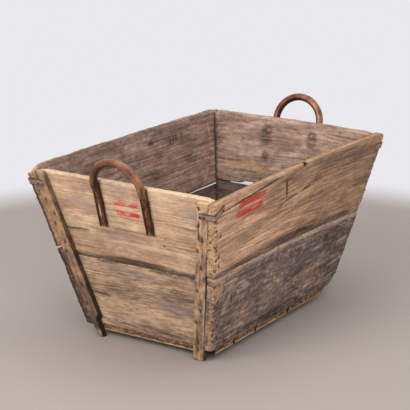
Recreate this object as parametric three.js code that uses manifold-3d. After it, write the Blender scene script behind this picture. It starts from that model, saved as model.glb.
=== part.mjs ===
// A tapered wooden crate for carrying picked grapes, with a bent pipe handle at each end.
// Millimetres, +Z up, +X along the crate. The origin is on the ground under the middle of the crate.
// The front is the -X end and the left side is the +Y side.
import * as THREE from 'three';
import { mergeVertices } from 'three/addons/utils/BufferGeometryUtils.js';
import loadManifold from 'manifold-3d';

const wasm = await loadManifold();
wasm.setup();

// Box: outer faces of the boards at the rim and at the boards' lower edges
const RIM_LENGTH = 720;
const RIM_WIDTH = 480;
const BASE_LENGTH = 516;
const BASE_WIDTH = 328;
const RIM_HEIGHT = 390;

// Boards
const END_BOARD_THICKNESS = 18;
const SIDE_BOARD_THICKNESS = 17;
const RIM_ROUNDING = 4.5;
// Each wall is an upper and a lower board: where they meet, how far they have shrunk apart,
// and how far the upper board's top edge rises in its middle
const WALLS = {
  rear: { jointHeight: 226, jointGap: 8, crown: 0 },
  front: { jointHeight: 200, jointGap: 5, crown: 0 },
  left: { jointHeight: 213, jointGap: 7.5, crown: 2 },
  right: { jointHeight: 207, jointGap: 0.8, crown: 8 },
};

// Bottom planks run across the crate: the first three widths from the front, and the last fills up
const PLANK_THICKNESS = 14.5;
const PLANK_GAP = 3;
const PLANK_WIDTHS = [84, 88, 138];

// Corner cleats stand on the ends of the end boards and reach the ground as feet
const FOOT_HEIGHT = 14.5;
const CLEAT_WIDTH = 26;
const CLEAT_THICKNESS = 15;
const CLEAT_CHAMFER = 3;

// Hoop iron straps round the corners
const STRAP_WIDTH = 14;
const STRAP_THICKNESS = 1.2;
const STRAP_DROP = 24;
const STRAP_END_LEG = 38;
const STRAP_SIDE_LEG = 60;

// Handles: round pipe, bent to an arch, with the legs pressed into troughs
const PIPE_DIAMETER = 17.2;
const HANDLE_SPREAD = 120;
const HANDLE_OFFSET = 4;
const ARCH_DROP = 2;
const LEG_REACH = 107;
const PRESS_START = 11;
const PRESS_LENGTH = 18;
const TROUGH_HEIGHT = 7.5;
const TROUGH_FLOOR = 2.6;
// How steeply the trough's walls rise from its floor
const TROUGH_STEEPNESS = 3;

// Rivets through the handle legs, closed over roves inside the crate
const RIVET_DROPS = [35, 96];
const RIVET_DIAMETER = 6;
const RIVET_HEAD_DIAMETER = 9;
const RIVET_HEAD_HEIGHT = 2.6;
const ROVE_DIAMETER = 11.5;
const ROVE_THICKNESS = 1.6;

// Clearance between pieces that are nailed or riveted together
const FIT = 0.3;

// Facets
const ROUNDING_SEGMENTS = 4;
const CROWN_STEPS = 10;
const PIPE_SIDES = 20;
const ARCH_STEPS = 26;
const PRESS_STEPS = 6;
const RIVET_SIDES = 16;
const DOME_STEPS = 4;
// Corners closer together than this are one corner
const MERGE_DISTANCE = 1e-4;

const WALL_FOOT = FOOT_HEIGHT + PLANK_THICKNESS + FIT;

// Finishes
const finish = (color, roughness, metalness) => new THREE.MeshStandardMaterial({ color, roughness, metalness });
const paleWood = finish(0xb59a78, 0.85, 0);
const brownWood = finish(0x7d624b, 0.88, 0);
const greyWood = finish(0x5c4f47, 0.9, 0);
const cleatWood = finish(0xa5855c, 0.85, 0);
const rustyPipe = finish(0x6b4130, 0.6, 0.6);
const rustyIron = finish(0x56423a, 0.75, 0.6);

function namedMesh(name, geometry, material) {
  const mesh = new THREE.Mesh(geometry, material);
  mesh.name = name;
  return mesh;
}

// Closed triangles as a solid for cutting, and back
function toSolid(geometry) {
  const bare = new THREE.BufferGeometry();
  bare.setAttribute('position', geometry.attributes.position.clone());
  bare.setIndex(geometry.index);
  const merged = mergeVertices(bare, MERGE_DISTANCE);
  const vertProperties = new Float32Array(merged.attributes.position.array);
  const triVerts = new Uint32Array(merged.index.array);
  return new wasm.Manifold(new wasm.Mesh({ numProp: 3, vertProperties, triVerts }));
}

function toGeometry(solid) {
  const { vertProperties, triVerts } = solid.getMesh();
  const geometry = new THREE.BufferGeometry();
  geometry.setAttribute('position', new THREE.Float32BufferAttribute(vertProperties, 3));
  geometry.setIndex(new THREE.Uint32BufferAttribute(triVerts, 1));
  return flatShaded(geometry);
}

function flatShaded(geometry) {
  const faceted = geometry.index ? geometry.toNonIndexed() : geometry;
  faceted.computeVertexNormals();
  return faceted;
}

// Moves every corner of a geometry by a rule; mirrored says that the rule turns it inside out
function reshape(geometry, rule, mirrored = false) {
  const shaped = geometry.index ? geometry.toNonIndexed() : geometry;
  const position = shaped.attributes.position;
  const corner = new THREE.Vector3();
  const corners = [];
  for (let i = 0; i < position.count; i += 1) {
    corners.push(rule(corner.fromBufferAttribute(position, i)));
  }
  if (mirrored) {
    for (let i = 0; i < corners.length; i += 3) {
      [corners[i + 1], corners[i + 2]] = [corners[i + 2], corners[i + 1]];
    }
  }
  return flatShaded(new THREE.BufferGeometry().setFromPoints(corners));
}

// A leaning wall, seen with its outer face towards +X. Depths are measured level, in from the outer face.
function leaningWall(rimSpan, baseSpan, thickness) {
  const lean = Math.atan2((rimSpan - baseSpan) / 2, RIM_HEIGHT - WALL_FOOT);
  const level = 1 / Math.cos(lean);
  const outer = (z) => rimSpan / 2 - (RIM_HEIGHT - z) * Math.tan(lean);
  return {
    lean,
    level,
    thickness,
    outer,
    inner: (z) => outer(z) - thickness * level,
    squareRise: thickness * Math.sin(lean),
  };
}

const endWall = leaningWall(RIM_LENGTH, BASE_LENGTH, END_BOARD_THICKNESS);
const sideWall = leaningWall(RIM_WIDTH, BASE_WIDTH, SIDE_BOARD_THICKNESS);

// Side boards run out to the cleats' front faces; end boards fit between the side boards
const cleatFront = (z) => endWall.outer(z) + (FIT + CLEAT_THICKNESS) * endWall.level;
const betweenSides = (z) => sideWall.inner(z) - FIT;

// Board sections, as depth and height: the joint edges are cut square to the face, the others level
function upperSection(wall, bottom) {
  const depth = wall.thickness * wall.level;
  const section = new THREE.Shape();
  section.moveTo(0, bottom);
  section.lineTo(depth, bottom + wall.squareRise);
  section.lineTo(depth, RIM_HEIGHT - RIM_ROUNDING);
  section.quadraticCurveTo(depth, RIM_HEIGHT, depth - RIM_ROUNDING, RIM_HEIGHT);
  section.lineTo(RIM_ROUNDING, RIM_HEIGHT);
  section.quadraticCurveTo(0, RIM_HEIGHT, 0, RIM_HEIGHT - RIM_ROUNDING);
  return section;
}

function lowerSection(wall, top) {
  const depth = wall.thickness * wall.level;
  const section = new THREE.Shape();
  section.moveTo(0, WALL_FOOT);
  section.lineTo(depth, WALL_FOOT);
  section.lineTo(depth, top + wall.squareRise);
  section.lineTo(0, top);
  return section;
}

// Runs a section from end to end and cuts both ends to the slope of the neighbouring walls
function boardGeometry(wall, section, halfLength, crown, crownFoot) {
  const steps = crown > 0 ? CROWN_STEPS : 1;
  const settings = { depth: 1, steps, bevelEnabled: false, curveSegments: ROUNDING_SEGMENTS };
  return reshape(new THREE.ExtrudeGeometry(section, settings), (corner) => {
    const along = 2 * corner.z - 1;
    const share = Math.max(0, (corner.y - crownFoot) / (RIM_HEIGHT - crownFoot));
    const z = corner.y + crown * share * (1 - along ** 2);
    return new THREE.Vector3(wall.outer(z) - corner.x, along * halfLength(z), z);
  });
}

function wallBoards(wall, { jointHeight, jointGap, crown }, halfLength) {
  const halfGap = (jointGap / 2) * Math.cos(wall.lean);
  const upperFoot = jointHeight + halfGap;
  const upper = upperSection(wall, upperFoot);
  const lower = lowerSection(wall, jointHeight - halfGap);
  return {
    upper: boardGeometry(wall, upper, halfLength, crown, upperFoot + wall.squareRise),
    lower: boardGeometry(wall, lower, halfLength, 0, WALL_FOOT),
  };
}

// Bottom planks, flush with the outer faces of the four walls
function plankGeometry(from, to) {
  const top = FOOT_HEIGHT + PLANK_THICKNESS;
  const plank = new THREE.BoxGeometry(1, 1, 1).translate(0.5, 0, 0.5);
  return reshape(plank, (corner) => {
    const z = FOOT_HEIGHT + corner.z * (top - FOOT_HEIGHT);
    const edge = corner.x < 0.5 ? from : to;
    return new THREE.Vector3(edge(z), 2 * corner.y * sideWall.outer(z), z);
  });
}

function plankEdges() {
  const edges = [[(z) => -endWall.outer(z)]];
  let reached = -BASE_LENGTH / 2;
  for (const width of PLANK_WIDTHS) {
    const end = reached + width;
    const start = end + PLANK_GAP;
    edges.at(-1).push(() => end);
    edges.push([() => start]);
    reached = start;
  }
  edges.at(-1).push((z) => endWall.outer(z));
  return edges;
}

// Corner cleat of the rear end; hand is 1 on the left and -1 on the right
function cleatGeometry(hand) {
  const section = new THREE.Shape();
  const front = CLEAT_THICKNESS * endWall.level;
  section.moveTo(0, 0);
  section.lineTo(front, 0);
  section.lineTo(front, CLEAT_WIDTH - CLEAT_CHAMFER);
  section.lineTo(front - CLEAT_CHAMFER, CLEAT_WIDTH);
  section.lineTo(0, CLEAT_WIDTH);
  const post = new THREE.ExtrudeGeometry(section, { depth: RIM_HEIGHT, bevelEnabled: false });
  const place = ({ x, y, z }) => new THREE.Vector3(
    endWall.outer(z) + FIT * endWall.level + x,
    hand * (betweenSides(z) - y),
    z,
  );
  return reshape(post, place, hand > 0);
}

// Strap round a rear corner, as a bent band between two heights
function strapGeometry(hand) {
  const near = FIT;
  const far = FIT + STRAP_THICKNESS;
  // Bent as round as the boards' sharp corner under it leaves room for
  const bend = 3 * FIT;
  const inside = near - bend;
  const band = new THREE.Shape();
  band.moveTo(near, -STRAP_END_LEG);
  band.lineTo(far, -STRAP_END_LEG);
  band.lineTo(far, inside);
  band.absarc(inside, inside, far - inside, 0, Math.PI / 2);
  band.lineTo(-STRAP_SIDE_LEG, far);
  band.lineTo(-STRAP_SIDE_LEG, near);
  band.lineTo(inside, near);
  band.absarc(inside, inside, bend, Math.PI / 2, 0, true);
  const height = STRAP_WIDTH * Math.cos(endWall.lean);
  const foot = RIM_HEIGHT - STRAP_DROP - height;
  const settings = { depth: height, bevelEnabled: false, curveSegments: ROUNDING_SEGMENTS };
  const place = ({ x, y, z }) => new THREE.Vector3(
    cleatFront(foot + z) + x * endWall.level,
    hand * (sideWall.outer(foot + z) + y * sideWall.level),
    foot + z,
  );
  return reshape(new THREE.ExtrudeGeometry(band, settings), place, hand < 0);
}

// Handle section at an angle round the pipe, as a sideways place and a lift off the board.
// press runs from 0, a round pipe, to 1, a trough with its outer wall pushed in.
function pipeSection(angle, press) {
  const radius = PIPE_DIAMETER / 2;
  const sideways = Math.cos(angle);
  const outward = Math.sin(angle);
  const wallRise = (TROUGH_HEIGHT - TROUGH_FLOOR) * Math.abs(sideways) ** TROUGH_STEEPNESS;
  const pressed = outward < 0 ? TROUGH_HEIGHT * (1 - Math.sqrt(-outward)) : TROUGH_FLOOR + wallRise;
  const lift = THREE.MathUtils.lerp(radius * (1 + outward), pressed, press);
  return new THREE.Vector2(radius * sideways, lift);
}

// Stations along the handle: a place across and up the board, the inward direction and the press
function handleStations() {
  const half = HANDLE_SPREAD / 2;
  const leg = [{ up: -LEG_REACH, press: 1 }];
  for (let i = PRESS_STEPS; i >= 0; i -= 1) {
    const press = THREE.MathUtils.smoothstep(i / PRESS_STEPS, 0, 1);
    leg.push({ up: -PRESS_START - (PRESS_LENGTH * i) / PRESS_STEPS, press });
  }
  const stations = leg.map(({ up, press }) => ({ across: -half, up, inward: 0, press }));
  for (let i = 0; i <= ARCH_STEPS; i += 1) {
    const inward = (-Math.PI * i) / ARCH_STEPS;
    const across = -half * Math.cos(inward);
    const up = -ARCH_DROP - half * Math.sin(inward);
    stations.push({ across, up, inward, press: 0 });
  }
  leg.reverse().forEach(({ up, press }) => {
    stations.push({ across: half, up, inward: -Math.PI, press });
  });
  return stations;
}

// The handle in its board's face frame: X off the board, Y across it, Z up it
function handleGeometry() {
  const angles = Array.from({ length: PIPE_SIDES }, (_, i) => (2 * Math.PI * i) / PIPE_SIDES);
  const stations = handleStations();
  const corners = [];
  for (const { across, up, inward, press } of stations) {
    for (const angle of angles) {
      const { x: sideways, y: lift } = pipeSection(angle, press);
      const y = across + sideways * Math.cos(inward);
      const z = up + sideways * Math.sin(inward);
      corners.push(FIT + lift, y, z);
    }
  }
  const index = [];
  for (let ring = 0; ring + 1 < stations.length; ring += 1) {
    for (let side = 0; side < PIPE_SIDES; side += 1) {
      const a = ring * PIPE_SIDES + side;
      const b = ring * PIPE_SIDES + ((side + 1) % PIPE_SIDES);
      index.push(a, b + PIPE_SIDES, b, a, a + PIPE_SIDES, b + PIPE_SIDES);
    }
  }
  const cut = THREE.ShapeUtils.triangulateShape(angles.map((angle) => pipeSection(angle, 1)), []);
  const last = (stations.length - 1) * PIPE_SIDES;
  for (const [a, b, c] of cut) {
    index.push(a, b, c, last + a, last + c, last + b);
  }
  const geometry = new THREE.BufferGeometry();
  geometry.setAttribute('position', new THREE.Float32BufferAttribute(corners, 3));
  geometry.setIndex(index);
  return geometry;
}

// Rivet places on an end board's face
const rivetPlaces = [];
for (const [row, drop] of [['upper', RIVET_DROPS[0]], ['lower', RIVET_DROPS[1]]]) {
  for (const [side, hand] of [['left', 1], ['right', -1]]) {
    const across = -HANDLE_OFFSET + (hand * HANDLE_SPREAD) / 2;
    rivetPlaces.push({ row, side, across, up: -drop });
  }
}

// Heads sit clear of the trough's floor, which rises a little towards its sides
const headSeat = pipeSection(Math.acos(RIVET_HEAD_DIAMETER / PIPE_DIAMETER), 1).y + 2 * FIT;
const roveSeat = -END_BOARD_THICKNESS - FIT;
const tailSeat = roveSeat - ROVE_THICKNESS - FIT;
const holeRadius = RIVET_DIAMETER / 2 + FIT;

// A dome from its edge to its crown, as radius and height
function dome(radius, height) {
  return Array.from({ length: DOME_STEPS + 1 }, (_, i) => {
    const turn = (Math.PI / 2) * (i / DOME_STEPS);
    return new THREE.Vector2(radius * Math.cos(turn), height * Math.sin(turn));
  });
}

function rivetGeometry() {
  const head = dome(RIVET_HEAD_DIAMETER / 2, RIVET_HEAD_HEIGHT);
  const shank = RIVET_DIAMETER / 2;
  const tail = head.map(({ x, y }) => new THREE.Vector2(x, tailSeat - y)).reverse();
  const profile = [
    ...tail,
    new THREE.Vector2(shank, tailSeat),
    new THREE.Vector2(shank, headSeat),
    ...head.map(({ x, y }) => new THREE.Vector2(x, headSeat + y)),
  ];
  profile[0].x = 0;
  profile.at(-1).x = 0;
  return new THREE.LatheGeometry(profile, RIVET_SIDES).rotateZ(-Math.PI / 2);
}

function roveGeometry() {
  const outer = ROVE_DIAMETER / 2;
  const ring = [[holeRadius, 0], [outer, 0], [outer, ROVE_THICKNESS], [holeRadius, ROVE_THICKNESS], [holeRadius, 0]];
  const profile = ring.map(([radius, height]) => new THREE.Vector2(radius, roveSeat - ROVE_THICKNESS + height));
  return new THREE.LatheGeometry(profile, RIVET_SIDES).rotateZ(-Math.PI / 2);
}

// Rivet holes through a handle leg and its board, in the face frame
function rivetHole({ across, up }) {
  const from = -END_BOARD_THICKNESS - ROVE_DIAMETER;
  const to = PIPE_DIAMETER;
  const hole = new THREE.CylinderGeometry(holeRadius, holeRadius, to - from, RIVET_SIDES).rotateZ(-Math.PI / 2);
  return hole.translate((from + to) / 2, across, up);
}

function drilled(geometry, holes) {
  let solid = toSolid(geometry);
  for (const hole of holes) {
    solid = solid.subtract(toSolid(hole));
  }
  return toGeometry(solid);
}

// The front end is the rear end turned half round, which swaps its left and right
function sideOf(end, side) {
  if (end === 'rear') return side;
  return side === 'left' ? 'right' : 'left';
}

// One end of the crate, as the rear end: boards, cleats, straps, handle, rivets and roves
function buildEnd(name, woods) {
  const end = new THREE.Group();
  const face = new THREE.Group();
  face.position.set(endWall.outer(RIM_HEIGHT), 0, RIM_HEIGHT);
  face.rotation.y = endWall.lean;
  face.updateMatrix();
  end.add(face);

  const boards = wallBoards(endWall, WALLS[name], betweenSides);
  const boardHoles = rivetPlaces.map((place) => rivetHole(place).applyMatrix4(face.matrix));
  end.add(namedMesh(`${name}_end_board_upper`, drilled(boards.upper, boardHoles), woods.upper));
  end.add(namedMesh(`${name}_end_board_lower`, boards.lower, woods.lower));

  for (const [side, hand] of [['left', 1], ['right', -1]]) {
    const corner = `${name}_${sideOf(name, side)}_corner`;
    end.add(namedMesh(`${corner}_cleat`, cleatGeometry(hand), cleatWood));
    end.add(namedMesh(`${corner}_strap`, strapGeometry(hand), rustyIron));
  }

  const handle = handleGeometry().translate(0, -HANDLE_OFFSET, 0);
  face.add(namedMesh(`${name}_handle`, drilled(handle, rivetPlaces.map(rivetHole)), rustyPipe));
  for (const { row, side, across, up } of rivetPlaces) {
    const hole = `${row}_${sideOf(name, side)}`;
    const rivet = namedMesh(`${name}_handle_rivet_${hole}`, rivetGeometry(), rustyIron);
    const rove = namedMesh(`${name}_handle_rove_${hole}`, roveGeometry(), rustyIron);
    rivet.position.set(0, across, up);
    rove.position.set(0, across, up);
    face.add(rivet, rove);
  }
  return end;
}

function buildSide(name, woods) {
  const side = new THREE.Group();
  const boards = wallBoards(sideWall, WALLS[name], cleatFront);
  side.add(namedMesh(`${name}_side_board_upper`, boards.upper, woods.upper));
  side.add(namedMesh(`${name}_side_board_lower`, boards.lower, woods.lower));
  return side;
}

const crate = new THREE.Group();

const rearEnd = buildEnd('rear', { upper: brownWood, lower: brownWood });
const frontEnd = buildEnd('front', { upper: paleWood, lower: paleWood });
frontEnd.rotation.z = Math.PI;

const leftSide = buildSide('left', { upper: brownWood, lower: greyWood });
leftSide.rotation.z = Math.PI / 2;
const rightSide = buildSide('right', { upper: brownWood, lower: greyWood });
rightSide.rotation.z = -Math.PI / 2;

crate.add(rearEnd, frontEnd, leftSide, rightSide);

plankEdges().forEach(([from, to], i) => {
  crate.add(namedMesh(`bottom_plank_${i + 1}`, plankGeometry(from, to), greyWood));
});

export default crate;
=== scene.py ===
import math
import random
from types import SimpleNamespace

import bmesh
import bpy
from mathutils import Matrix, Vector, noise


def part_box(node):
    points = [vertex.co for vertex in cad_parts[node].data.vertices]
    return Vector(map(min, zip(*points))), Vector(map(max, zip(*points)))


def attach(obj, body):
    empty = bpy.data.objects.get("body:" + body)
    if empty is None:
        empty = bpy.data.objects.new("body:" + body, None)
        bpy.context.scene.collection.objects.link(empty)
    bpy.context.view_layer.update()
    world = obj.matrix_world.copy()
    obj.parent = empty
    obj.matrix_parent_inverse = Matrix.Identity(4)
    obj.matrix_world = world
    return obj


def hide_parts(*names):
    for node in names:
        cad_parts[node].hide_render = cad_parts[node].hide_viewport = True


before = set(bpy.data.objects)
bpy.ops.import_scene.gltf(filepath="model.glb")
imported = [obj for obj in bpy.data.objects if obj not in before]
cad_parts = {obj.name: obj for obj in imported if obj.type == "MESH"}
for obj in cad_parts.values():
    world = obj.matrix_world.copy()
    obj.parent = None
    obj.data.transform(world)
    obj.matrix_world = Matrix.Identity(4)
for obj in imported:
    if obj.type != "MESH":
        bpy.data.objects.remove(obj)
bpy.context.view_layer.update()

# Camera at the photograph's viewing angle
CAMERA_PLACE = (-2.8409, -1.8075, 1.2379)
CAMERA_AZIMUTH = -57.15
CAMERA_ELEVATION = 16.17
CAMERA_ROLL = 0.14
CAMERA_LENS = 135.4
SENSOR_WIDTH = 36.0

# Fineness of the grids, the angle from which an edge is sharp, and what counts as no distance
CELL_ALONG = 0.003
CELL_ACROSS = 0.002
SHARP = math.radians(50)
TINY = 1e-6

# Wear of the boards: how deep it goes, and how far in from an edge it reaches
RIM_ROUNDING = 0.0045
ROUNDING_STEPS = 5
EDGE_SOFTENING = 0.0013
RIM_WEAR = 0.0030
END_WEAR = 0.0040
JOINT_WEAR = 0.0012
RIPPLE = 0.0003
EDGE_REACH = 0.012
FOOT_REACH = 0.010
STAIN_REACH = 0.0055

# The worn lower corner at the rear of the right side
WORN_CORNER_LOSS = 0.046
WORN_CORNER_TOP = 0.072
WORN_CORNER_ROUNDNESS = 2.6
WORN_CORNER_RUN = 0.13
WORN_CORNER_SIDE = (-0.11, -0.05)

# Ragged noise: a base, then a strength, two rates per metre and a shift of the seed for each octave
RIM_NIBBLES = (0.4, (0.6, 16, 50, 0), (0.5, 60, 90, 3), (0.3, 170, 120, 4))
END_CHEWING = (0.4, (0.6, 30, 60, 5), (0.6, 120, 90, 6))
SPLINTERS = (0.0, (1.0, 300, 420, 11), (0.6, 130, 180, 12))
GRAIN_WANDER = (0.0, (0.006, 5, 10, 8), (0.0015, 22, 30, 9))
SPOT_EDGES = (0.0, (0.3, 25, 70, 0), (0.15, 90, 200, 0))
CLEAT_PATCHING = (0.0, (1.0, 45, 130, 15), (0.5, 130, 260, 16))

# Layers that the wood's finish reads
LAYERS = ("tone", "wear_and_highlight", "gold", "grime_and_shade", "rust", "paint", "inside", "crack")
STRONGEST_LAYER = 1.5

# Cleats and planks
CLEAT_MODEL = "rear_left_corner_cleat"
CLEAT_ROUNDING = 0.0017
PLANK_COUNT = 4

# Handles: the pipe, and how its legs are pressed into troughs
PIPE_RADIUS = 0.0086
PIPE_SIDES = 40
PIPE_CELL = 0.003
HANDLE_GAP = 0.0003
ARCH_DROP = 0.002
LEG_REACH = 0.107
PRESS_START = 0.003
PRESS_LENGTH = 0.028
TROUGH_HEIGHT = 0.0075
TROUGH_FLOOR = 0.0026
TROUGH_STEEPNESS = 3

# Rivets and roves
RIVET_HEAD_RADIUS = 0.0045
RIVET_HEAD_HEIGHT = 0.0026
RIVET_SHANK_RADIUS = 0.003
RIVET_SIDES = 28
DOME_STEPS = 7
ROVE_RADIUS = 0.00575
ROVE_THICKNESS = 0.0016
ROVE_LIP = 0.0005
ROVE_CLEARANCE = 0.0003

# Nails and straps
NAIL_RADIUS = 0.0027
NAIL_LIFT = 0.0007
NAIL_SIDES = 10
NAIL_TILT = 0.12
END_NAIL_ROWS = ((0.007, 7), (0.021, 4))
STRAP_THICKNESS = 0.0012
STRAP_GAP = 0.0003
STRAP_BEND = 0.0012
STRAP_BULGE = 0.0006
STRAP_END_LEG = 0.038
STRAP_SIDE_LEG = 0.034
STRAP_CELLS = (48, 8)
STRAP_END_NAILS = (0.0255, 0.0345)
STRAP_SIDE_NAIL = 0.024

# The floor is round and ends softly behind the crate
FLOOR_REACH = 0.98
FLOOR_FADE = 0.3


def smooth(low, high, value):
    """Rises from 0 to 1 as value goes from low to high."""
    share = min(1.0, max(0.0, (value - low) / (high - low)))
    return share * share * (3 - 2 * share)


def rough(x, y, z):
    """Smooth noise from -1 to 1."""
    return noise.noise(Vector((x, y, z)))


def ragged(along, across, seed, base, *octaves):
    """Several octaves of noise on a base."""
    value = base
    for strength, along_rate, across_rate, shift in octaves:
        value += strength * rough(along * along_rate, across * across_rate, seed + shift)
    return value


def lerp(first, second, share):
    """The value a share of the way from the first to the second."""
    return first + (second - first) * share


# Frame


def face_line(node, axis, sign):
    """Where a node's largest flat face stands along an axis, as a function of height."""
    facing = [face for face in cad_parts[node].data.polygons if sign * face.normal[axis] > 0.8]
    face = max(facing, key=lambda each: each.area)
    slope = -face.normal.z / face.normal[axis]
    middle = face.center.copy()
    return lambda z: middle[axis] + slope * (z - middle.z)


class Wall:
    """A leaning wall. Places on it are a run along the crate's axis, a depth in from outside and a height."""

    def __init__(self, node, across, sign):
        self.outer = face_line(node, across, 1)
        self.inner = face_line(node, across, -1)
        self.half = face_line(node, 1 - across, 1)
        self.across = across
        self.sign = sign
        self.depth = self.outer(0) - self.inner(0)
        self.lean = math.atan(self.outer(1) - self.outer(0))
        self.joint_rise = self.depth * math.cos(self.lean) * math.sin(self.lean)

    def place(self, run, depth, z):
        out = self.sign * (self.outer(z) - depth)
        return Vector((out, run, z)) if self.across == 0 else Vector((run, out, z))

    def face(self, run, z, lift=0.0):
        """A matrix on the outer face: X along the crate's axis, Y up the slope, Z off the board."""
        tilt = Vector((math.sin(self.lean), math.cos(self.lean)))
        up, off = self.sign * tilt[0], self.sign * tilt[1]
        axes = [Vector((0, 1, 0)), Vector((up, 0, tilt[1])), Vector((off, 0, -tilt[0]))]
        if self.across == 1:
            axes = [axis.yxz for axis in axes]
        matrix = Matrix(axes).transposed().to_4x4()
        matrix.translation = self.place(run, 0, z) + axes[2] * lift
        return matrix


WALLS = {
    "rear": Wall("rear_end_board_lower", 0, 1),
    "front": Wall("rear_end_board_lower", 0, -1),
    "left": Wall("left_side_board_lower", 1, 1),
    "right": Wall("left_side_board_lower", 1, -1),
}
RIM_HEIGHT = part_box(CLEAT_MODEL)[1].z
PLANK_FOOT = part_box("bottom_plank_1")[0].z
cleat_back = face_line(CLEAT_MODEL, 0, -1)
cleat_front = face_line(CLEAT_MODEL, 0, 1)
cleat_inner = face_line(CLEAT_MODEL, 1, -1)
cleat_outer = face_line(CLEAT_MODEL, 1, 1)


def worn_corner(place):
    """Draws in the lower corner at the rear of the right side, which years of dragging have rounded off."""
    end = WALLS["right"].half(place.z)
    depth = max(0.0, (WORN_CORNER_TOP - place.z) / (WORN_CORNER_TOP - PLANK_FOOT))
    loss = WORN_CORNER_LOSS * min(1.0, depth) ** WORN_CORNER_ROUNDNESS
    side = 1 - smooth(*WORN_CORNER_SIDE, place.y)
    place.x -= loss * side * smooth(end - WORN_CORNER_RUN, end, place.x)
    return place


# Materials


def tone(red, green, blue):
    """A screen colour as the shader's own numbers."""
    shares = [part / 255 for part in (red, green, blue)]
    return tuple(s / 12.92 if s <= 0.04045 else ((s + 0.055) / 1.055) ** 2.4 for s in shares) + (1.0,)


GOLDEN_WOOD = tone(206, 161, 112)
# Grime, and painted shade on the cleats' flanks
GRIME_AND_SHADE = tone(58, 47, 42)
RUST_STAIN = tone(78, 48, 32)
RED_PAINT = tone(190, 58, 50)
# Cracks, and painted shade beside handle legs, on cleats and in plank gaps
CRACK_AND_SHADE = tone(36, 28, 24)
# Painted highlight and painted shade on the iron
IRON_HIGHLIGHT = tone(226, 184, 150)
SHADED_IRON = tone(44, 23, 15)
FLOOR_GREY = tone(160, 150, 144)
BACKGROUND = tone(234, 233, 238)

# Dark, middle and light wood inside the crate
SIDE_INSIDE = ((92, 72, 62), (139, 113, 101), (176, 148, 132))
END_INSIDE = ((98, 74, 62), (152, 125, 110), (188, 160, 140))

# Patterns in the wood: rates along and across the grain, and the noise's detail and roughness
GRAIN_PATTERNS = {
    "lines": (5, 250, 6.0, 0.72),
    "bands": (3, 50, 3.0, 0.55),
    "mottle": (60, 120, 6.0, 0.72),
    "patches": (7, 18, 4.0, 0.55),
    "clouds": (12, 34, 6.0, 0.7),
    "speckle": (170, 320, 4.0, 0.7),
    "fibres": (8, 230, 2.0, 0.5),
    "checks": (2.4, 420, 2.0, 0.55),
    "pits": (140, 330, 3.0, 0.55),
    "rubbing": (22, 26, 5.0, 0.6),
}
RING_WIDTH = 0.006
RINGS_PER_SCALE = 0.314
RING_STRETCH = (0.12, 1, 1)
# Scrapes: the angle to the grain, rates along and across, and a share of the strength
SCRAPES = ((58, 16, 140, 1.0), (-28, 26, 150, 0.4), (70, 30, 110, 0.9))


def plug(tree, node, inputs):
    """Links each of a node's inputs to a socket, or sets its value."""
    for key, value in inputs.items():
        if isinstance(value, bpy.types.NodeSocket):
            tree.links.new(value, node.inputs[key])
        else:
            node.inputs[key].default_value = value


def add(tree, kind, inputs=None, **settings):
    """Adds a node, with its settings, and its inputs linked or set."""
    node = tree.nodes.new(kind)
    for key, value in settings.items():
        setattr(node, key, value)
    plug(tree, node, inputs or {})
    return node


def figure(tree, operation, *values):
    return add(tree, "ShaderNodeMath", dict(enumerate(values)), operation=operation).outputs[0]


def times(tree, first, second):
    return figure(tree, "MULTIPLY", first, second)


def blend(tree, factor, first, second):
    return add(tree, "ShaderNodeMix", {0: factor, 6: first, 7: second}, data_type="RGBA").outputs[2]


def ramp(tree, factor, *stops):
    """A colour ramp through (place, colour) stops."""
    node = add(tree, "ShaderNodeValToRGB", {"Fac": factor})
    points = node.color_ramp.elements
    while len(points) < len(stops):
        points.new(0.5)
    for point, (place, colour) in zip(points, stops):
        point.position = place
        point.color = colour
    return node.outputs["Color"]


def fade(tree, value, low, high):
    """0 where value is under low and 1 where it is over high."""
    inputs = {"Value": value, "From Min": low, "From Max": high}
    return add(tree, "ShaderNodeMapRange", inputs, interpolation_type="SMOOTHSTEP").outputs[0]


def swing(tree, pattern, amount):
    """Noise as a factor that swings about 1 by an amount."""
    inputs = {"Value": pattern, "From Min": 0.3, "From Max": 0.7, "To Min": 1 - amount, "To Max": 1 + amount}
    return add(tree, "ShaderNodeMapRange", inputs).outputs[0]


def total(tree, *shares):
    """The weighted mean of (value, weight) pairs."""
    whole = sum(weight for _, weight in shares)
    result = 0.0
    for value, weight in shares:
        result = figure(tree, "MULTIPLY_ADD", value, weight / whole, result)
    return result


def stretch(tree, vector, rates):
    return add(tree, "ShaderNodeVectorMath", {0: vector, 1: rates}, operation="MULTIPLY").outputs[0]


def streaky_noise(tree, vector, along, across, detail, roughness):
    """Noise drawn out along the vector's X."""
    stretched = stretch(tree, vector, (along, across, across))
    inputs = {"Vector": stretched, "Scale": 1.0, "Detail": detail, "Roughness": roughness}
    return add(tree, "ShaderNodeTexNoise", inputs).outputs["Fac"]


def attribute(tree, name):
    return add(tree, "ShaderNodeAttribute", attribute_name=name).outputs["Fac"]


def new_material(name):
    material = bpy.data.materials.new(name)
    material.use_nodes = True
    tree = material.node_tree
    return material, tree, tree.nodes["Principled BSDF"]


def grain_patterns(tree):
    """Every pattern that follows the grain, by name."""
    grain = add(tree, "ShaderNodeAttribute", attribute_name="grain").outputs["Vector"]
    drawn_out = stretch(tree, grain, RING_STRETCH)
    scale = RINGS_PER_SCALE / RING_WIDTH
    wave = {"Vector": drawn_out, "Scale": scale, "Distortion": 3.0, "Detail": 3.0, "Detail Scale": 1.0}
    rings = add(tree, "ShaderNodeTexWave", wave, wave_type="RINGS", rings_direction="X").outputs["Fac"]
    drawn = {name: streaky_noise(tree, grain, *rates) for name, rates in GRAIN_PATTERNS.items()}
    return SimpleNamespace(grain=grain, rings=rings, **drawn)


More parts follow.
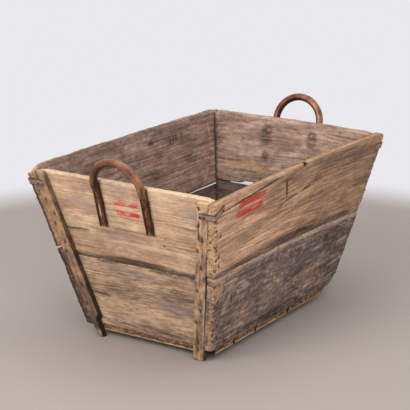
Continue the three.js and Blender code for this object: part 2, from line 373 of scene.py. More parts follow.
def weathered_wood(
    name, outside, inside, bare, ringed=0.03, mottling=0.3, greyed=0.6, scuffed=0.0, uneven=0.32, bared=0.55,
    speckled=0.13, fibrous=0.15,
):
    """Old sawn wood: growth rings and fibres along the grain, greyed in patches, with worn edges and stains.
    outside is dark, middle, light and grey; inside is dark, middle and light."""
    material, tree, shader = new_material(name)
    dark, middle, light, grey = (tone(*colour) for colour in outside)
    inner_dark, inner_middle, inner_light = (tone(*colour) for colour in inside)
    bare = tone(*bare)
    seen = grain_patterns(tree)
    figured = total(tree, (seen.lines, 0.5), (seen.bands, 0.2), (seen.rings, ringed), (seen.mottle, mottling))
    colour = ramp(tree, figured, (0.38, dark), (0.5, middle), (0.62, light))
    colour = blend(tree, times(tree, fade(tree, seen.patches, 0.5, 0.7), greyed), colour, grey)
    colour = blend(tree, times(tree, fade(tree, seen.patches, 0.47, 0.3), bared), colour, bare)
    if scuffed:
        colour = scuffs(tree, seen, colour, light, scuffed)
    dusty = total(tree, (seen.lines, 0.3), (seen.bands, 0.15), (seen.mottle, 0.38), (seen.clouds, 0.17))
    inner = ramp(tree, dusty, (0.37, inner_dark), (0.5, inner_middle), (0.63, inner_light))
    inner = blend(tree, times(tree, fade(tree, seen.patches, 0.5, 0.75), 0.4), inner, inner_dark)
    colour = blend(tree, attribute(tree, "inside"), colour, inner)
    level = attribute(tree, "tone")
    for pattern, amount in ((seen.clouds, uneven), (seen.speckle, speckled), (seen.fibres, fibrous)):
        level = times(tree, level, swing(tree, pattern, amount))
    colour = add(tree, "ShaderNodeHueSaturation", {"Value": level, "Color": colour}).outputs[0]
    # Hairline checks along the grain, and small pits
    holes = figure(tree, "MAXIMUM", fade(tree, seen.checks, 0.62, 0.70), fade(tree, seen.pits, 0.62, 0.72))
    opened = times(tree, holes, 0.4)
    height = figure(tree, "MULTIPLY_ADD", opened, -0.6, figured)
    bump = add(tree, "ShaderNodeBump", {"Height": height, "Strength": 0.6, "Distance": 0.0012})
    plug(tree, shader, {
        "Base Color": stained(tree, seen, colour, figured, opened, dark, middle, bare),
        "Roughness": figure(tree, "MULTIPLY_ADD", seen.lines, 0.2, 0.7),
        "Specular IOR Level": 0.25,
        "Normal": bump.outputs[0],
    })
    return material


def stained(tree, seen, colour, figured, opened, dark, middle, bare):
    """Lays the bare edges, golden patches, holes, grime, rust, paint and cracks, with painted highlight and
    painted shade among them, over the wood's colour.
    """
    # Bare edges, and a painted highlight along a raised split
    worn = times(tree, attribute(tree, "wear_and_highlight"), fade(tree, seen.mottle, 0.3, 0.58))
    colour = blend(tree, worn, colour, blend(tree, fade(tree, seen.lines, 0.25, 0.6), middle, bare))
    golden = times(tree, attribute(tree, "gold"), fade(tree, seen.mottle, 0.32, 0.56))
    colour = blend(tree, golden, colour, blend(tree, fade(tree, seen.speckle, 0.3, 0.6), middle, GOLDEN_WOOD))
    colour = blend(tree, opened, colour, blend(tree, 0.5, GRIME_AND_SHADE, dark))
    broken = figure(tree, "MULTIPLY_ADD", fade(tree, figured, 0.62, 0.40), 0.9, 0.25)
    # Grime, and painted shade on the cleats' flanks
    colour = blend(tree, times(tree, attribute(tree, "grime_and_shade"), broken), colour, GRIME_AND_SHADE)
    colour = blend(tree, attribute(tree, "rust"), colour, RUST_STAIN)
    flaked = times(tree, attribute(tree, "paint"), fade(tree, figured, 0.60, 0.47))
    colour = blend(tree, flaked, colour, RED_PAINT)
    # Cracks, and painted shade beside the handle legs, on the cleats' flanks and seams and in the plank gaps
    return blend(tree, attribute(tree, "crack"), colour, CRACK_AND_SHADE)


def scuffs(tree, seen, colour, pale, strength):
    """Pale scrapes across the grain, as crates dragged over each other leave them."""
    rubbed_and_highlight = fade(tree, seen.rubbing, 0.42, 0.66)
    for angle, along, across, share in SCRAPES:
        swung = {"Vector": seen.grain, "Angle": math.radians(angle)}
        turned_grain = add(tree, "ShaderNodeVectorRotate", swung, rotation_type="Y_AXIS").outputs[0]
        scrapes = streaky_noise(tree, turned_grain, along, across, 5.0, 0.68)
        marks = times(tree, fade(tree, scrapes, 0.53, 0.68), rubbed_and_highlight)
        colour = blend(tree, times(tree, marks, strength * share), colour, pale)
    return colour


def rusty_iron(name, colours, roughness, metallic):
    """Iron under an old coat of rust, with painted shade and painted highlights where a piece's attributes
    ask for them.
    colours are deep, brown and bright."""
    material, tree, shader = new_material(name)
    deep, brown, bright = (tone(*colour) for colour in colours)
    place = add(tree, "ShaderNodeTexCoord").outputs["Object"]
    patches = add(tree, "ShaderNodeTexNoise", {"Vector": place, "Scale": 45.0, "Detail": 5.0}).outputs["Fac"]
    grit = add(tree, "ShaderNodeTexNoise", {"Vector": place, "Scale": 420.0, "Detail": 4.0}).outputs["Fac"]
    mixed = total(tree, (grit, 0.4), (patches, 0.6))
    colour = ramp(tree, mixed, (0.38, deep), (0.5, brown), (0.62, bright))
    # Painted highlight here, and painted shade in the base colour below, where a piece's attributes ask
    colour = blend(tree, attribute(tree, "rubbed_and_highlight"), colour, IRON_HIGHLIGHT)
    bump = add(tree, "ShaderNodeBump", {"Height": mixed, "Strength": 0.25, "Distance": 0.0006})
    plug(tree, shader, {
        "Base Color": blend(tree, attribute(tree, "shaded"), colour, SHADED_IRON),
        "Roughness": figure(tree, "MULTIPLY_ADD", grit, 0.3, roughness - 0.15),
        "Metallic": metallic,
        "Normal": bump.outputs[0],
    })
    return material


pale_end_wood = weathered_wood(
    "pale_end_wood", ((156, 118, 88), (196, 159, 129), (214, 184, 156), (160, 139, 126)), END_INSIDE,
    (216, 188, 156), ringed=0.04, mottling=0.4, greyed=0.75,
)
lower_end_wood = weathered_wood(
    "lower_end_wood", ((142, 112, 90), (182, 150, 122), (206, 178, 148), (146, 127, 122)), END_INSIDE,
    (206, 176, 140), ringed=0.06, mottling=0.42, uneven=0.4, bared=0.8, speckled=0.18, fibrous=0.25,
)
rear_end_wood = weathered_wood(
    "rear_end_wood", ((128, 96, 74), (172, 136, 110), (196, 164, 136), (140, 118, 104)), END_INSIDE,
    (204, 166, 120), fibrous=0.25,
)
brown_board_wood = weathered_wood(
    "brown_board_wood", ((122, 88, 66), (168, 131, 106), (194, 160, 132), (142, 118, 104)), SIDE_INSIDE,
    (203, 166, 126), mottling=0.28, scuffed=0.35, uneven=0.38, speckled=0.2, fibrous=0.36,
)
grey_board_wood = weathered_wood(
    "grey_board_wood", ((60, 46, 42), (114, 94, 88), (188, 166, 154), (94, 80, 79)), SIDE_INSIDE,
    (188, 160, 134), mottling=0.6, greyed=0.7, scuffed=1.0, uneven=0.5, bared=0.12, speckled=0.26,
    fibrous=0.25,
)
cleat_wood = weathered_wood(
    "cleat_wood", ((122, 92, 70), (168, 135, 110), (196, 164, 134), (146, 122, 106)), END_INSIDE,
    (204, 172, 142), mottling=0.45, scuffed=0.4, uneven=0.55, bared=0.4, speckled=0.22,
)
plank_wood = weathered_wood(
    "plank_wood", ((92, 66, 48), (142, 108, 80), (178, 140, 102), (114, 92, 78)), SIDE_INSIDE,
    (214, 180, 144), mottling=0.6,
)
handle_iron = rusty_iron("handle_iron", ((74, 38, 22), (114, 64, 39), (148, 93, 62)), 0.42, 0.4)
strap_iron = rusty_iron("strap_iron", ((104, 78, 66), (140, 110, 95), (164, 134, 116)), 0.65, 0.2)
rivet_iron = rusty_iron("rivet_iron", ((40, 28, 23), (66, 45, 35), (98, 66, 48)), 0.65, 0.2)
rove_iron = rusty_iron("rove_iron", ((98, 68, 52), (134, 98, 78), (164, 126, 102)), 0.7, 0.2)


# Meshes


def block(low, high):
    """A cube stretched between two corners."""
    bm = bmesh.new()
    bmesh.ops.create_cube(bm, size=1)
    bmesh.ops.scale(bm, vec=high - low, verts=bm.verts)
    bmesh.ops.translate(bm, vec=(low + high) / 2, verts=bm.verts)
    return bm


def round_edges(bm, edges, offset, segments):
    bmesh.ops.bevel(
        bm, geom=edges, offset=offset, offset_type="OFFSET", segments=segments,
        profile=0.5, affect="EDGES", material=-1,
    )


def soften(bm, offset, segments=2):
    """Rounds every edge that is still sharp."""
    round_edges(bm, [edge for edge in bm.edges if edge.calc_face_angle() > SHARP], offset, segments)


def slice_along(bm, axis, cell):
    """Cuts a block's long faces into even cells along one axis."""
    lines = []
    for edge in bm.edges:
        run = edge.verts[1].co - edge.verts[0].co
        if run.length > 3 * cell and abs(run[axis]) > 0.98 * run.length:
            lines.append(edge)
    longest = max(edge.calc_length() for edge in lines)
    bmesh.ops.subdivide_edges(bm, edges=lines, cuts=round(longest / cell) - 1, use_grid_fill=True)


def cut_cells(bm, along, *across):
    """Cuts a wooden block into cells, along its grain and then across it."""
    slice_along(bm, along, CELL_ALONG)
    for axis in across:
        slice_along(bm, axis, CELL_ACROSS)


def finish_piece(bm, name, material, slot, *nodes):
    """Turns a bmesh into a piece that rides on the crate and stands for the nodes named."""
    bmesh.ops.recalc_face_normals(bm, faces=bm.faces)
    mesh = bpy.data.meshes.new(name)
    bm.to_mesh(mesh)
    bm.free()
    mesh.shade_smooth()
    mesh.set_sharp_from_angle(angle=SHARP)
    mesh.materials.append(material)
    piece = bpy.data.objects.new(name, mesh)
    bpy.context.scene.collection.objects.link(piece)
    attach(piece, "root")
    if nodes:
        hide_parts(*nodes)


def wood_layers(bm):
    layers = {name: bm.verts.layers.float.new(name) for name in LAYERS}
    layers["grain"] = bm.verts.layers.float_vector.new("grain")
    return layers


def paint(vert, layers, values):
    for layer, value in values.items():
        vert[layers[layer]] = value


# Nails


def nail_head(bm, matrix, draw):
    """One nail head, a low worn disc."""
    radius = NAIL_RADIUS * draw.uniform(0.85, 1.2)
    forward = Matrix.Rotation(draw.uniform(-NAIL_TILT, NAIL_TILT), 4, "X")
    sideways = Matrix.Rotation(draw.uniform(-NAIL_TILT, NAIL_TILT), 4, "Y")
    bmesh.ops.create_cone(
        bm, cap_ends=True, segments=NAIL_SIDES, radius1=radius, radius2=0.7 * radius,
        depth=2 * NAIL_LIFT, matrix=matrix @ (forward @ sideways),
    )


def drive_nails(name, wall, places, lift=0.0):
    """A row of nails driven into a wall's outer face, or into what stands on it at a lift."""
    draw = random.Random(name)
    bm = bmesh.new()
    for run, z in places:
        nail_head(bm, wall.face(run, z, lift), draw)
    finish_piece(bm, name, rivet_iron, "rivet_iron")


def end_nails(name, seed):
    """Two ragged rows of nails near each end of a side board, into the cleat and the end board's edge."""
    draw = random.Random(seed)
    wall = WALLS["right"]
    low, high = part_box(name)
    nails = []
    for end in (-1, 1):
        for inset, count in END_NAIL_ROWS:
            for i in range(count):
                share = (i + 0.5 + draw.uniform(-0.4, 0.4)) / count
                z = lerp(low.z + 0.008, min(high.z, RIM_HEIGHT) - 0.012, share)
                nails.append((end * (wall.half(z) - inset - draw.uniform(-0.003, 0.003)), z))
    return nails


def nail_stain(nails, run, z, seed):
    """Rust that has crept into the wood round each nail, and run down a little below it."""
    stain = 0.0
    for nail_run, nail_z in nails:
        down = z - nail_z
        if abs(run - nail_run) < 2 * STAIN_REACH and abs(down) < 3 * STAIN_REACH:
            drop = down * (0.7 if down < 0 else 1.0)
            reach = math.hypot(run - nail_run, drop) / STAIN_REACH
            stain = max(stain, 1 - smooth(0.25, 1.0, reach + 0.3 * rough(run * 120, z * 120, seed)))
    return stain


# Boards of the four walls


def rear_sag(run):
    """The rear upper board's lower edge hangs deeper near the left corner, and closes the gap there."""
    return 0.0062 * smooth(0.105, 0.125, run)


def left_sag(run):
    """The left upper board's lower edge has swollen a little, and narrows the gap under it."""
    return 0.0018 + 0.0006 * rough(run * 9, 0.0, 4.0)


def right_joint_bend(run):
    """The joint of the right side's boards is bowed upwards, most in front of its middle."""
    return 0.0083 - 0.0152 * run - 0.0822 * run * run


def straight(run):
    return 0.0


# What a board shows where its own marks don't say otherwise
PLAIN_BOARD = {
    # Tone of the outer face, painted shade growing towards the rear, and the tone of the inner face, ends and
    # rim
    "tone": 1.0, "tone_slope": 0.0, "inner_tone": 1.0, "end_tones": (1.0, 1.0), "rim_tone": 1.0,
    # How bare, golden, dark, brown and splintered the edges are
    "bare_rim": 0.4, "bare_end": 0.9, "golden_end": 0.0, "dark_end": 0.0, "browned_end": 0.0,
    "browned_rim": 0.0, "splintered": 0.0, "top_wear": 0.0, "lip": 0.0,
    # How the edges are rounded and worn; the corners drop by an amount at the front and one at the rear
    "rim_rounding": RIM_ROUNDING, "top_rounding": 0.0, "end_rounding": 0.0, "rim_wear": 1.0, "end_wear": 1.0,
    "corner_drop": (0.003, 0.003), "corner_shape": (0.03, 2.0), "worn_corner": False,
    # How the rim is raised: evenly, towards the rear and in its middle; how the foot and the joint bend
    "raised": (0.0, 0.0, 0.0), "proud": 0.0, "sag": straight, "bend": straight,
    # Splits along paths of runs and heights; hollows with a run, a height, a radius and a depth;
    # and spots on a layer with a run, a height, half a length, half a height and a strength
    "nails": [], "splits": [], "hollows": [], "outside": {}, "inner": {},
}


class Board:
    """One board before it stands in its wall. X runs along it, Y in from its outer face and Z up."""

    def __init__(self, number, name, marks):
        low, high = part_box(name)
        self.name = name
        self.wall_name = name.split("_")[0]
        self.wall = WALLS[self.wall_name]
        self.number = number
        self.seed = number * 7.31
        self.marks = {**PLAIN_BOARD, **marks}
        self.upper = name.endswith("upper")
        self.low = low.z
        self.high = RIM_HEIGHT if self.upper else high.z - self.wall.joint_rise
        self.crown = max(0.0, high.z - RIM_HEIGHT)
        self.half = self.wall.half((self.low + self.high) / 2)

    def shape(self):
        """The board's block, with its top edges rounded and cut into cells."""
        bm = block(Vector((-self.half, 0, self.low)), Vector((self.half, self.wall.depth, self.high)))
        top = [edge for edge in bm.edges if all(vert.co.z > self.high - TINY for vert in edge.verts)]
        if self.upper:
            long_top = [edge for edge in top if abs(edge.verts[0].co.y - edge.verts[1].co.y) < TINY]
            round_edges(bm, long_top, self.marks["rim_rounding"], ROUNDING_STEPS)
        elif self.marks["top_rounding"]:
            outer_top = [edge for edge in top if all(vert.co.y < TINY for vert in edge.verts)]
            round_edges(bm, outer_top, self.marks["top_rounding"], ROUNDING_STEPS)
        soften(bm, EDGE_SOFTENING)
        cut_cells(bm, 0, 2, 1)
        return bm


class BoardPlace:
    """A place on a board, and how near it is to the board's edges."""

    def __init__(self, board, point):
        low, high, half = board.low, board.high, board.half
        self.x, self.depth, self.z = point
        self.run = self.x * board.wall.half(self.z) / half
        self.inward = self.depth / board.wall.depth
        self.out = 1 - 2 * self.depth / board.wall.depth
        self.inside = smooth(0.45, 0.95, self.inward)
        self.to_top = smooth(high - EDGE_REACH, high, self.z)
        self.to_foot = 1 - smooth(low, low + FOOT_REACH, self.z)
        self.to_end = smooth(half - EDGE_REACH, half, abs(self.x))
        self.on_end = smooth(half - 0.005, half - 0.001, abs(self.x))
        self.on_rim = smooth(high - 0.004, high - 0.001, self.z) if board.upper else 0.0
        self.nibble = ragged(self.run, self.depth, board.seed, *RIM_NIBBLES)
        self.chew = ragged(self.z, self.depth, board.seed, *END_CHEWING)
        self.wander = ragged(self.run, self.z, board.seed, *GRAIN_WANDER)


def open_split(bm, layers, board, path, opening, half_width, proud=0.0, steep=False, darkness=1.0, pale=0.0):
    """Opens a split in a board's outer face along a path of (run, height) points.
    It moves the nearest line of the grid onto the path, sinks it, and draws both neighbours to its lips."""
    crack, wear_and_highlight = layers["crack"], layers["wear_and_highlight"]
    course, cross = (2, 0) if steep else (0, 2)
    lines = {}
    for vert in bm.verts:
        if abs(vert.co.y) < TINY:
            lines.setdefault(round(vert.co[course], 5), []).append(vert)
    path = [(run * board.half / board.wall.half(z), z) for run, z in path]
    points = sorted((point[1], point[0]) if steep else point for point in path)
    start, end = points[0][0], points[-1][0]
    for station, line in lines.items():
        if not start < station < end or len(line) < 5:
            continue
        line.sort(key=lambda vert: vert.co[cross])
        before = max(point for point in points if point[0] <= station)
        after = min(point for point in points if point[0] >= station)
        span = max(after[0] - before[0], 1e-9)
        target = lerp(before[1], after[1], (station - before[0]) / span)
        target += 0.0012 * rough(station * 40, 0.0, start * 7)
        taper = math.sin(math.pi * (station - start) / (end - start)) ** 0.4
        near = min(range(1, len(line) - 1), key=lambda i: abs(line[i].co[cross] - target))
        line[near].co[cross] = target
        line[near].co.y += opening * taper
        line[near - 1].co[cross] = target - half_width * taper - 0.0002
        line[near + 1].co[cross] = target + half_width * taper + 0.0002
        line[near][crack] = darkness
        line[near - 1][crack] = line[near + 1][crack] = 0.6 * darkness * taper
        # A pale split paints a highlight along its lower lip
        line[near - 1][wear_and_highlight] = pale * taper
        for vert in line[max(0, near - 8):near]:
            closeness = 1 - (target - vert.co[cross]) / 0.02
            vert.co.y -= proud * taper * max(0.0, closeness)


def spot_strength(layer, spot, run, z, seed):
    """How strongly a ragged soft-edged spot shows at a place."""
    middle_run, middle_z, length, height, strength = spot
    across = abs(z - middle_z) / height
    along = abs(run - middle_run) / length
    if along > 1.4 or across > 1.4:
        return 0.0
    if layer == "tone":
        return strength * (1 - smooth(0.2, 1.2, math.hypot(along, across)))
    if layer in ("paint", "crack"):
        return strength * (1 - smooth(0.92, 1.05, along)) * (1 - smooth(0.8, 1.05, across))
    return strength * (1 - smooth(0.5, 1.1, math.hypot(along, across) + ragged(run, z, seed, *SPOT_EDGES)))


def edge_layers(board, at, wear_and_highlight, crack):
    """What a board's finish shows for its faces, edges and joints; wear and crack from the splits, with a
    painted highlight by a pale split, are there already.
    """
    marks = board.marks
    # Painted shade that deepens along the board towards the rear
    outer_tone = marks["tone"] + marks["tone_slope"] * at.x / board.half
    end_tone = lerp(*marks["end_tones"], smooth(0.34, 0.60, at.inward))
    shown_tone = lerp(lerp(outer_tone, marks["inner_tone"], at.inside), end_tone, at.on_end)
    shown_tone *= lerp(1.0, marks["rim_tone"], at.on_rim)
    shown_tone *= 1 + 0.35 * at.on_rim * rough(at.run * 110, at.depth * 150, board.seed + 15)
    crack = max(crack, marks["dark_end"] * at.to_end * at.inside)
    if marks["splintered"]:
        splinter = smooth(0.3, 0.6, ragged(at.z, at.depth, board.seed, *SPLINTERS))
        crack = max(crack, marks["splintered"] * splinter * at.to_end)
    rim = at.to_top if board.upper else 0.0
    wear_and_highlight = max(wear_and_highlight, marks["bare_rim"] * rim * (0.4 + at.nibble), marks["bare_end"] * at.to_end * at.chew)
    if not board.upper:
        wear_and_highlight = max(wear_and_highlight, marks["top_wear"] * at.to_top * (0.6 + 0.5 * at.nibble))
    if marks["lip"]:
        lip = smooth(board.high - 0.010, board.high - 0.007, at.z + 0.0015 * at.nibble)
        lip *= smooth(-0.2, 0.4, at.out)
        shown_tone += marks["lip"] * lip
        wear_and_highlight = max(wear_and_highlight, lip)
    joint = at.to_foot if board.upper else 1 - smooth(0.0, 0.006, board.high - at.z)
    grime_and_shade = (0.0 if marks["top_wear"] else 0.6) * joint * (0.6 + at.nibble)
    if not board.upper:
        grime_and_shade = max(grime_and_shade, 0.55 * at.to_foot * (0.5 + at.nibble))
    return {
        "tone": shown_tone,
        "wear_and_highlight": wear_and_highlight,
        "gold": marks["golden_end"] * at.to_end * smooth(0.1, 0.7, at.chew),
        "grime_and_shade": grime_and_shade,
        "rust": max(marks["browned_end"] * at.on_end, marks["browned_rim"] * at.on_rim),
        "paint": 0.0,
        "inside": at.inside * (1 - at.on_end),
        "crack": crack,
    }


def add_spots(board, at, values):
    """Adds a board's spots, nail stains and hollows at a place, and sinks the place in a hollow."""
    outward = at.out > 0
    for layer, spots in board.marks["outside" if outward else "inner"].items():
        for spot in spots:
            strength = spot_strength(layer, spot, at.run, at.z, board.seed)
            values[layer] = values[layer] + strength if layer == "tone" else max(values[layer], strength)
    if not outward:
        return
    values["rust"] = max(values["rust"], 0.85 * nail_stain(board.marks["nails"], at.run, at.z, board.seed))
    for hole_run, hole_z, radius, sink in board.marks["hollows"]:
        reach = math.hypot(at.run - hole_run, 1.6 * (at.z - hole_z)) / radius
        at.depth += sink * (1 - smooth(0.3, 1.0, reach))
        values["crack"] = max(values["crack"], 1 - smooth(0.5, 1.2, reach))


def worn_place(board, at):
    """Where a place on a board ends up, worn, shrunk and stood in the leaning wall."""
    marks, wall, half, seed = board.marks, board.wall, board.half, board.seed
    run, depth, z = at.run, at.depth, at.z
    rounding = marks["end_rounding"]
    if rounding and depth < rounding and half - abs(at.x) < rounding:
        cut = (1 - depth / rounding) * (1 - (half - abs(at.x)) / rounding)
        depth += 0.4 * rounding * cut
        run -= math.copysign(0.4 * rounding * cut, run)
    ripple = RIPPLE * (rough(run * 9, (z + at.wander) * 130, seed) + rough(run * 3, z * 45, seed + 1))
    ripple += 3 * RIPPLE * at.on_rim * rough(run * 70, depth * 120, seed + 14)
    depth += at.out * ripple
    depth -= marks["proud"] * smooth(board.low, board.high, z)
    share = (z - board.low) / (board.high - board.low)
    near_joint = (1 - share) if board.upper else share
    bite = max(0.0, at.nibble)
    rise = wall.joint_rise * depth / wall.depth
    z += rise * near_joint
    if board.upper:
        even, rearward, bowed = marks["raised"]
        z += share * (even + rearward * at.x / half + (bowed + board.crown) * (1 - (at.x / half) ** 2))
        z -= at.to_top * RIM_WEAR * bite * marks["rim_wear"]
        z += at.to_foot * JOINT_WEAR * bite
    else:
        z -= at.to_top * JOINT_WEAR * bite
    z -= marks["sag"](run) * at.to_foot
    z += marks["bend"](run) * near_joint
    if board.upper:
        reach, sharpness = marks["corner_shape"]
        corner = smooth(half - reach, half, abs(at.x)) ** sharpness
        z -= marks["corner_drop"][0 if at.x < 0 else 1] * corner * share
    run -= math.copysign(at.to_end * END_WEAR * marks["end_wear"] * max(0.0, at.chew), run)
    place = wall.place(run, depth, z)
    return worn_corner(place) if marks["worn_corner"] else place


def wall_board(board, wood):
    """One board of a wall, split, stained and worn."""
    bm = board.shape()
    layers = wood_layers(bm)
    for split in board.marks["splits"]:
        open_split(bm, layers, board, **split)
    pith_depth, pith_height, pith_slope = board.marks["pith"]
    for vert in bm.verts:
        at = BoardPlace(board, vert.co)
        values = edge_layers(board, at, vert[layers["wear_and_highlight"]], vert[layers["crack"]])
        add_spots(board, at, values)
        paint(vert, layers, {layer: min(STRONGEST_LAYER, max(0.0, value)) for layer, value in values.items()})
        along = at.run + 3.7 * board.number
        vert[layers["grain"]] = Vector(
            (along, at.depth + pith_depth + pith_slope * at.run, at.z - pith_height + at.wander)
        )
        vert.co = worn_place(board, at)
    slot = "end_board_wood" if "end_board" in board.name else "side_board_wood"
    finish_piece(bm, "worn_" + board.name, wood, slot, board.name)


def build_board(number, name, wood, **marks):
    """One board with the marks given, and the nails at a side board's ends."""
    board = Board(number, name, marks)
    if "side_board" in name:
        board.marks["nails"] = end_nails(name, number)
        row = "upper" if board.upper else "lower"
        drive_nails(f"{board.wall_name}_{row}_board_nails", board.wall, board.marks["nails"])
    wall_board(board, wood)


build_board(
    1, "front_end_board_upper", pale_end_wood, pith=(0.12, 0.12, 0.02), raised=(0.0042, 0.0, 0.0),
    rim_rounding=0.0034, rim_wear=0.4, bare_rim=0.8, bare_end=0.0, dark_end=0.8,
    hollows=[(-0.082, 0.262, 0.0035, 0.004)],
    splits=[
        {
            "path": [(0.1, 0.2805), (0.0, 0.2822), (-0.09, 0.2818), (-0.172, 0.2795)], "opening": 0.002,
            "half_width": 0.0004, "proud": 0.0014, "darkness": 0.45,
        },
        {"path": [(0.185, 0.262), (0.11, 0.266)], "opening": 0.0015, "half_width": 0.0008},
    ],
    outside={
        "tone": [
            (0.0, 0.235, 0.4, 0.05, -0.1), (0.17, 0.25, 0.06, 0.06, -0.1), (0.0, 0.208, 0.13, 0.014, -0.55),
        ],
        "rust": [(-0.005, 0.2095, 0.1, 0.008, 0.4), (0.12, 0.207, 0.06, 0.005, 0.4)],
        "grime_and_shade": [
            (-0.12, 0.2055, 0.2, 0.0035, 0.9), (-0.005, 0.209, 0.09, 0.007, 0.66),
            (0.14, 0.262, 0.04, 0.006, 0.45), (0.07, 0.272, 0.05, 0.007, 0.35),
            (0.01, 0.352, 0.04, 0.016, 0.18),
        ],
        # Painted shadow beside each handle leg
        "crack": [(0.064, 0.338, 0.0084, 0.056, 0.9), (-0.056, 0.338, 0.0084, 0.056, 0.9)],
        "paint": [(-0.003, 0.345, 0.031, 0.0065, 1.0), (-0.003, 0.322, 0.031, 0.0065, 1.0)],
    },
)
build_board(
    2, "front_end_board_lower", lower_end_wood, pith=(0.035, 0.06, 0.09), tone=0.92, bare_end=0.0,
    dark_end=0.8,
    splits=[
        {"path": [(0.142, 0.1118), (0.085, 0.109)], "opening": 0.0028, "half_width": 0.0011},
        {"path": [(-0.06, 0.066), (-0.13, 0.048)], "opening": 0.0008, "half_width": 0.0004, "darkness": 0.4},
        {"path": [(0.115, 0.064), (0.05, 0.069)], "opening": 0.0008, "half_width": 0.0004, "darkness": 0.4},
    ],
    outside={
        "tone": [
            (0.045, 0.128, 0.09, 0.035, -0.16), (-0.085, 0.132, 0.07, 0.03, -0.14),
            (0.0, 0.18, 0.25, 0.03, -0.08),
        ],
        "grime_and_shade": [
            (0.045, 0.133, 0.06, 0.026, 0.36), (-0.02, 0.121, 0.05, 0.022, 0.3),
            (-0.085, 0.137, 0.05, 0.024, 0.36), (0.1, 0.165, 0.03, 0.01, 0.32),
            (-0.03, 0.043, 0.16, 0.012, 0.5),
        ],
        "wear_and_highlight": [(0.06, 0.085, 0.08, 0.02, 0.4)],
    },
)
build_board(
    3, "rear_end_board_upper", rear_end_wood, pith=(0.11, 0.2, 0.03), raised=(0.0, 0.0, 0.0026),
    rim_wear=0.5, bare_rim=0.05, rim_tone=0.9, bare_end=0.0, dark_end=0.9, sag=rear_sag,
    outside={
        "grime_and_shade": [(0.02, 0.236, 0.18, 0.012, 0.6), (0.09, 0.33, 0.05, 0.03, 0.3)],
        # Painted shadow beside each handle leg
        "crack": [(0.056, 0.338, 0.0092, 0.056, 0.8), (-0.064, 0.338, 0.0092, 0.056, 0.8)],
    },
    inner={
        "grime_and_shade": [
            (0.062, 0.345, 0.02, 0.03, 0.75), (-0.066, 0.35, 0.018, 0.022, 0.7),
            (0.058, 0.298, 0.012, 0.016, 0.7), (-0.064, 0.3, 0.012, 0.016, 0.6),
            (0.2, 0.34, 0.02, 0.06, 0.5), (0.16, 0.277, 0.05, 0.004, 0.7), (0.13, 0.254, 0.07, 0.005, 0.7),
            (0.19, 0.266, 0.03, 0.004, 0.6), (-0.15, 0.33, 0.05, 0.02, 0.25),
        ],
        "rust": [
            (0.06, 0.364, 0.01, 0.01, 0.4), (-0.064, 0.364, 0.01, 0.01, 0.4),
            (0.057, 0.306, 0.009, 0.009, 0.35),
        ],
        "gold": [(0.12, 0.262, 0.1, 0.022, 0.4)],
        "tone": [
            (0.12, 0.262, 0.1, 0.03, -0.12), (0.16, 0.3, 0.08, 0.08, -0.14), (0.05, 0.245, 0.2, 0.03, -0.24),
        ],
    },
)
build_board(
    4, "rear_end_board_lower", rear_end_wood, pith=(0.05, 0.14, 0.06), bare_end=0.0, dark_end=0.9,
    inner_tone=0.34,
    outside={"grime_and_shade": [(0.05, 0.12, 0.09, 0.03, 0.35), (-0.02, 0.045, 0.15, 0.012, 0.5)]},
    inner={"grime_and_shade": [(0.0, 0.08, 0.2, 0.05, 0.4)]},
)
build_board(
    5, "right_side_board_upper", brown_board_wood, pith=(0.07, 0.12, 0.035), tone=1.14, tone_slope=-0.32,
    end_tones=(1.15, 1.15), bare_end=1.2, golden_end=0.35, splintered=0.85, end_rounding=0.005,
    bend=right_joint_bend, corner_drop=(0.003, 0.009), rim_rounding=0.0032, rim_wear=0.3, rim_tone=0.68,
    browned_rim=0.15, bare_rim=0.35, hollows=[(-0.012, 0.386, 0.011, 0.007), (-0.018, 0.2896, 0.003, 0.003)],
    splits=[
        {
            "path": [(-0.352, 0.362), (-0.275, 0.369), (-0.19, 0.375), (-0.11, 0.383)], "opening": 0.0045,
            "half_width": 0.0013, "proud": 0.001,
        },
        {
            "path": [(-0.09, 0.372), (-0.078, 0.346), (-0.07, 0.322)], "opening": 0.005,
            "half_width": 0.0022, "steep": True,
        },
        {"path": [(-0.1, 0.306), (-0.072, 0.316), (-0.024, 0.3215)], "opening": 0.004, "half_width": 0.0016},
        {"path": [(-0.008, 0.3235), (0.033, 0.3285)], "opening": 0.008, "half_width": 0.003},
        {
            "path": [(0.05, 0.3415), (0.12, 0.3455), (0.24, 0.341), (0.34, 0.335)], "opening": 0.002,
            "half_width": 0.0006, "proud": 0.0022, "darkness": 0.35, "pale": 1.4,
        },
    ],
    outside={
        "grime_and_shade": [
            (-0.2, 0.212, 0.09, 0.009, 0.75), (-0.06, 0.214, 0.11, 0.014, 0.9),
            (-0.28, 0.209, 0.07, 0.009, 0.7), (0.06, 0.214, 0.1, 0.015, 0.85),
            (0.21, 0.212, 0.09, 0.013, 0.7), (-0.05, 0.25, 0.03, 0.012, 0.5),
            (-0.1, 0.358, 0.06, 0.016, 0.3), (0.05, 0.375, 0.08, 0.012, 0.35),
            (0.15, 0.365, 0.1, 0.014, 0.3), (-0.34, 0.222, 0.008, 0.026, 1.0),
        ],
        "tone": [
            (-0.06, 0.212, 0.26, 0.026, -0.5), (-0.28, 0.208, 0.08, 0.02, -0.5),
            (0.2, 0.362, 0.16, 0.026, -0.32), (-0.05, 0.368, 0.1, 0.02, -0.16),
        ],
        "gold": [
            (0.3, 0.388, 0.1, 0.007, 0.5), (0.0, 0.39, 0.34, 0.006, 0.35), (-0.355, 0.385, 0.03, 0.01, 0.8),
            (0.33, 0.378, 0.06, 0.014, 0.7), (0.25, 0.335, 0.1, 0.006, 0.5),
        ],
        "wear_and_highlight": [(-0.3, 0.29, 0.06, 0.05, 0.35), (0.27, 0.31, 0.08, 0.02, 0.4)],
        "paint": [(-0.227, 0.362, 0.052, 0.0085, 1.0), (-0.227, 0.339, 0.052, 0.0085, 1.0)],
        "rust": [(0.26, 0.31, 0.16, 0.1, 0.14), (-0.02, 0.375, 0.26, 0.02, 0.14)],
    },
)
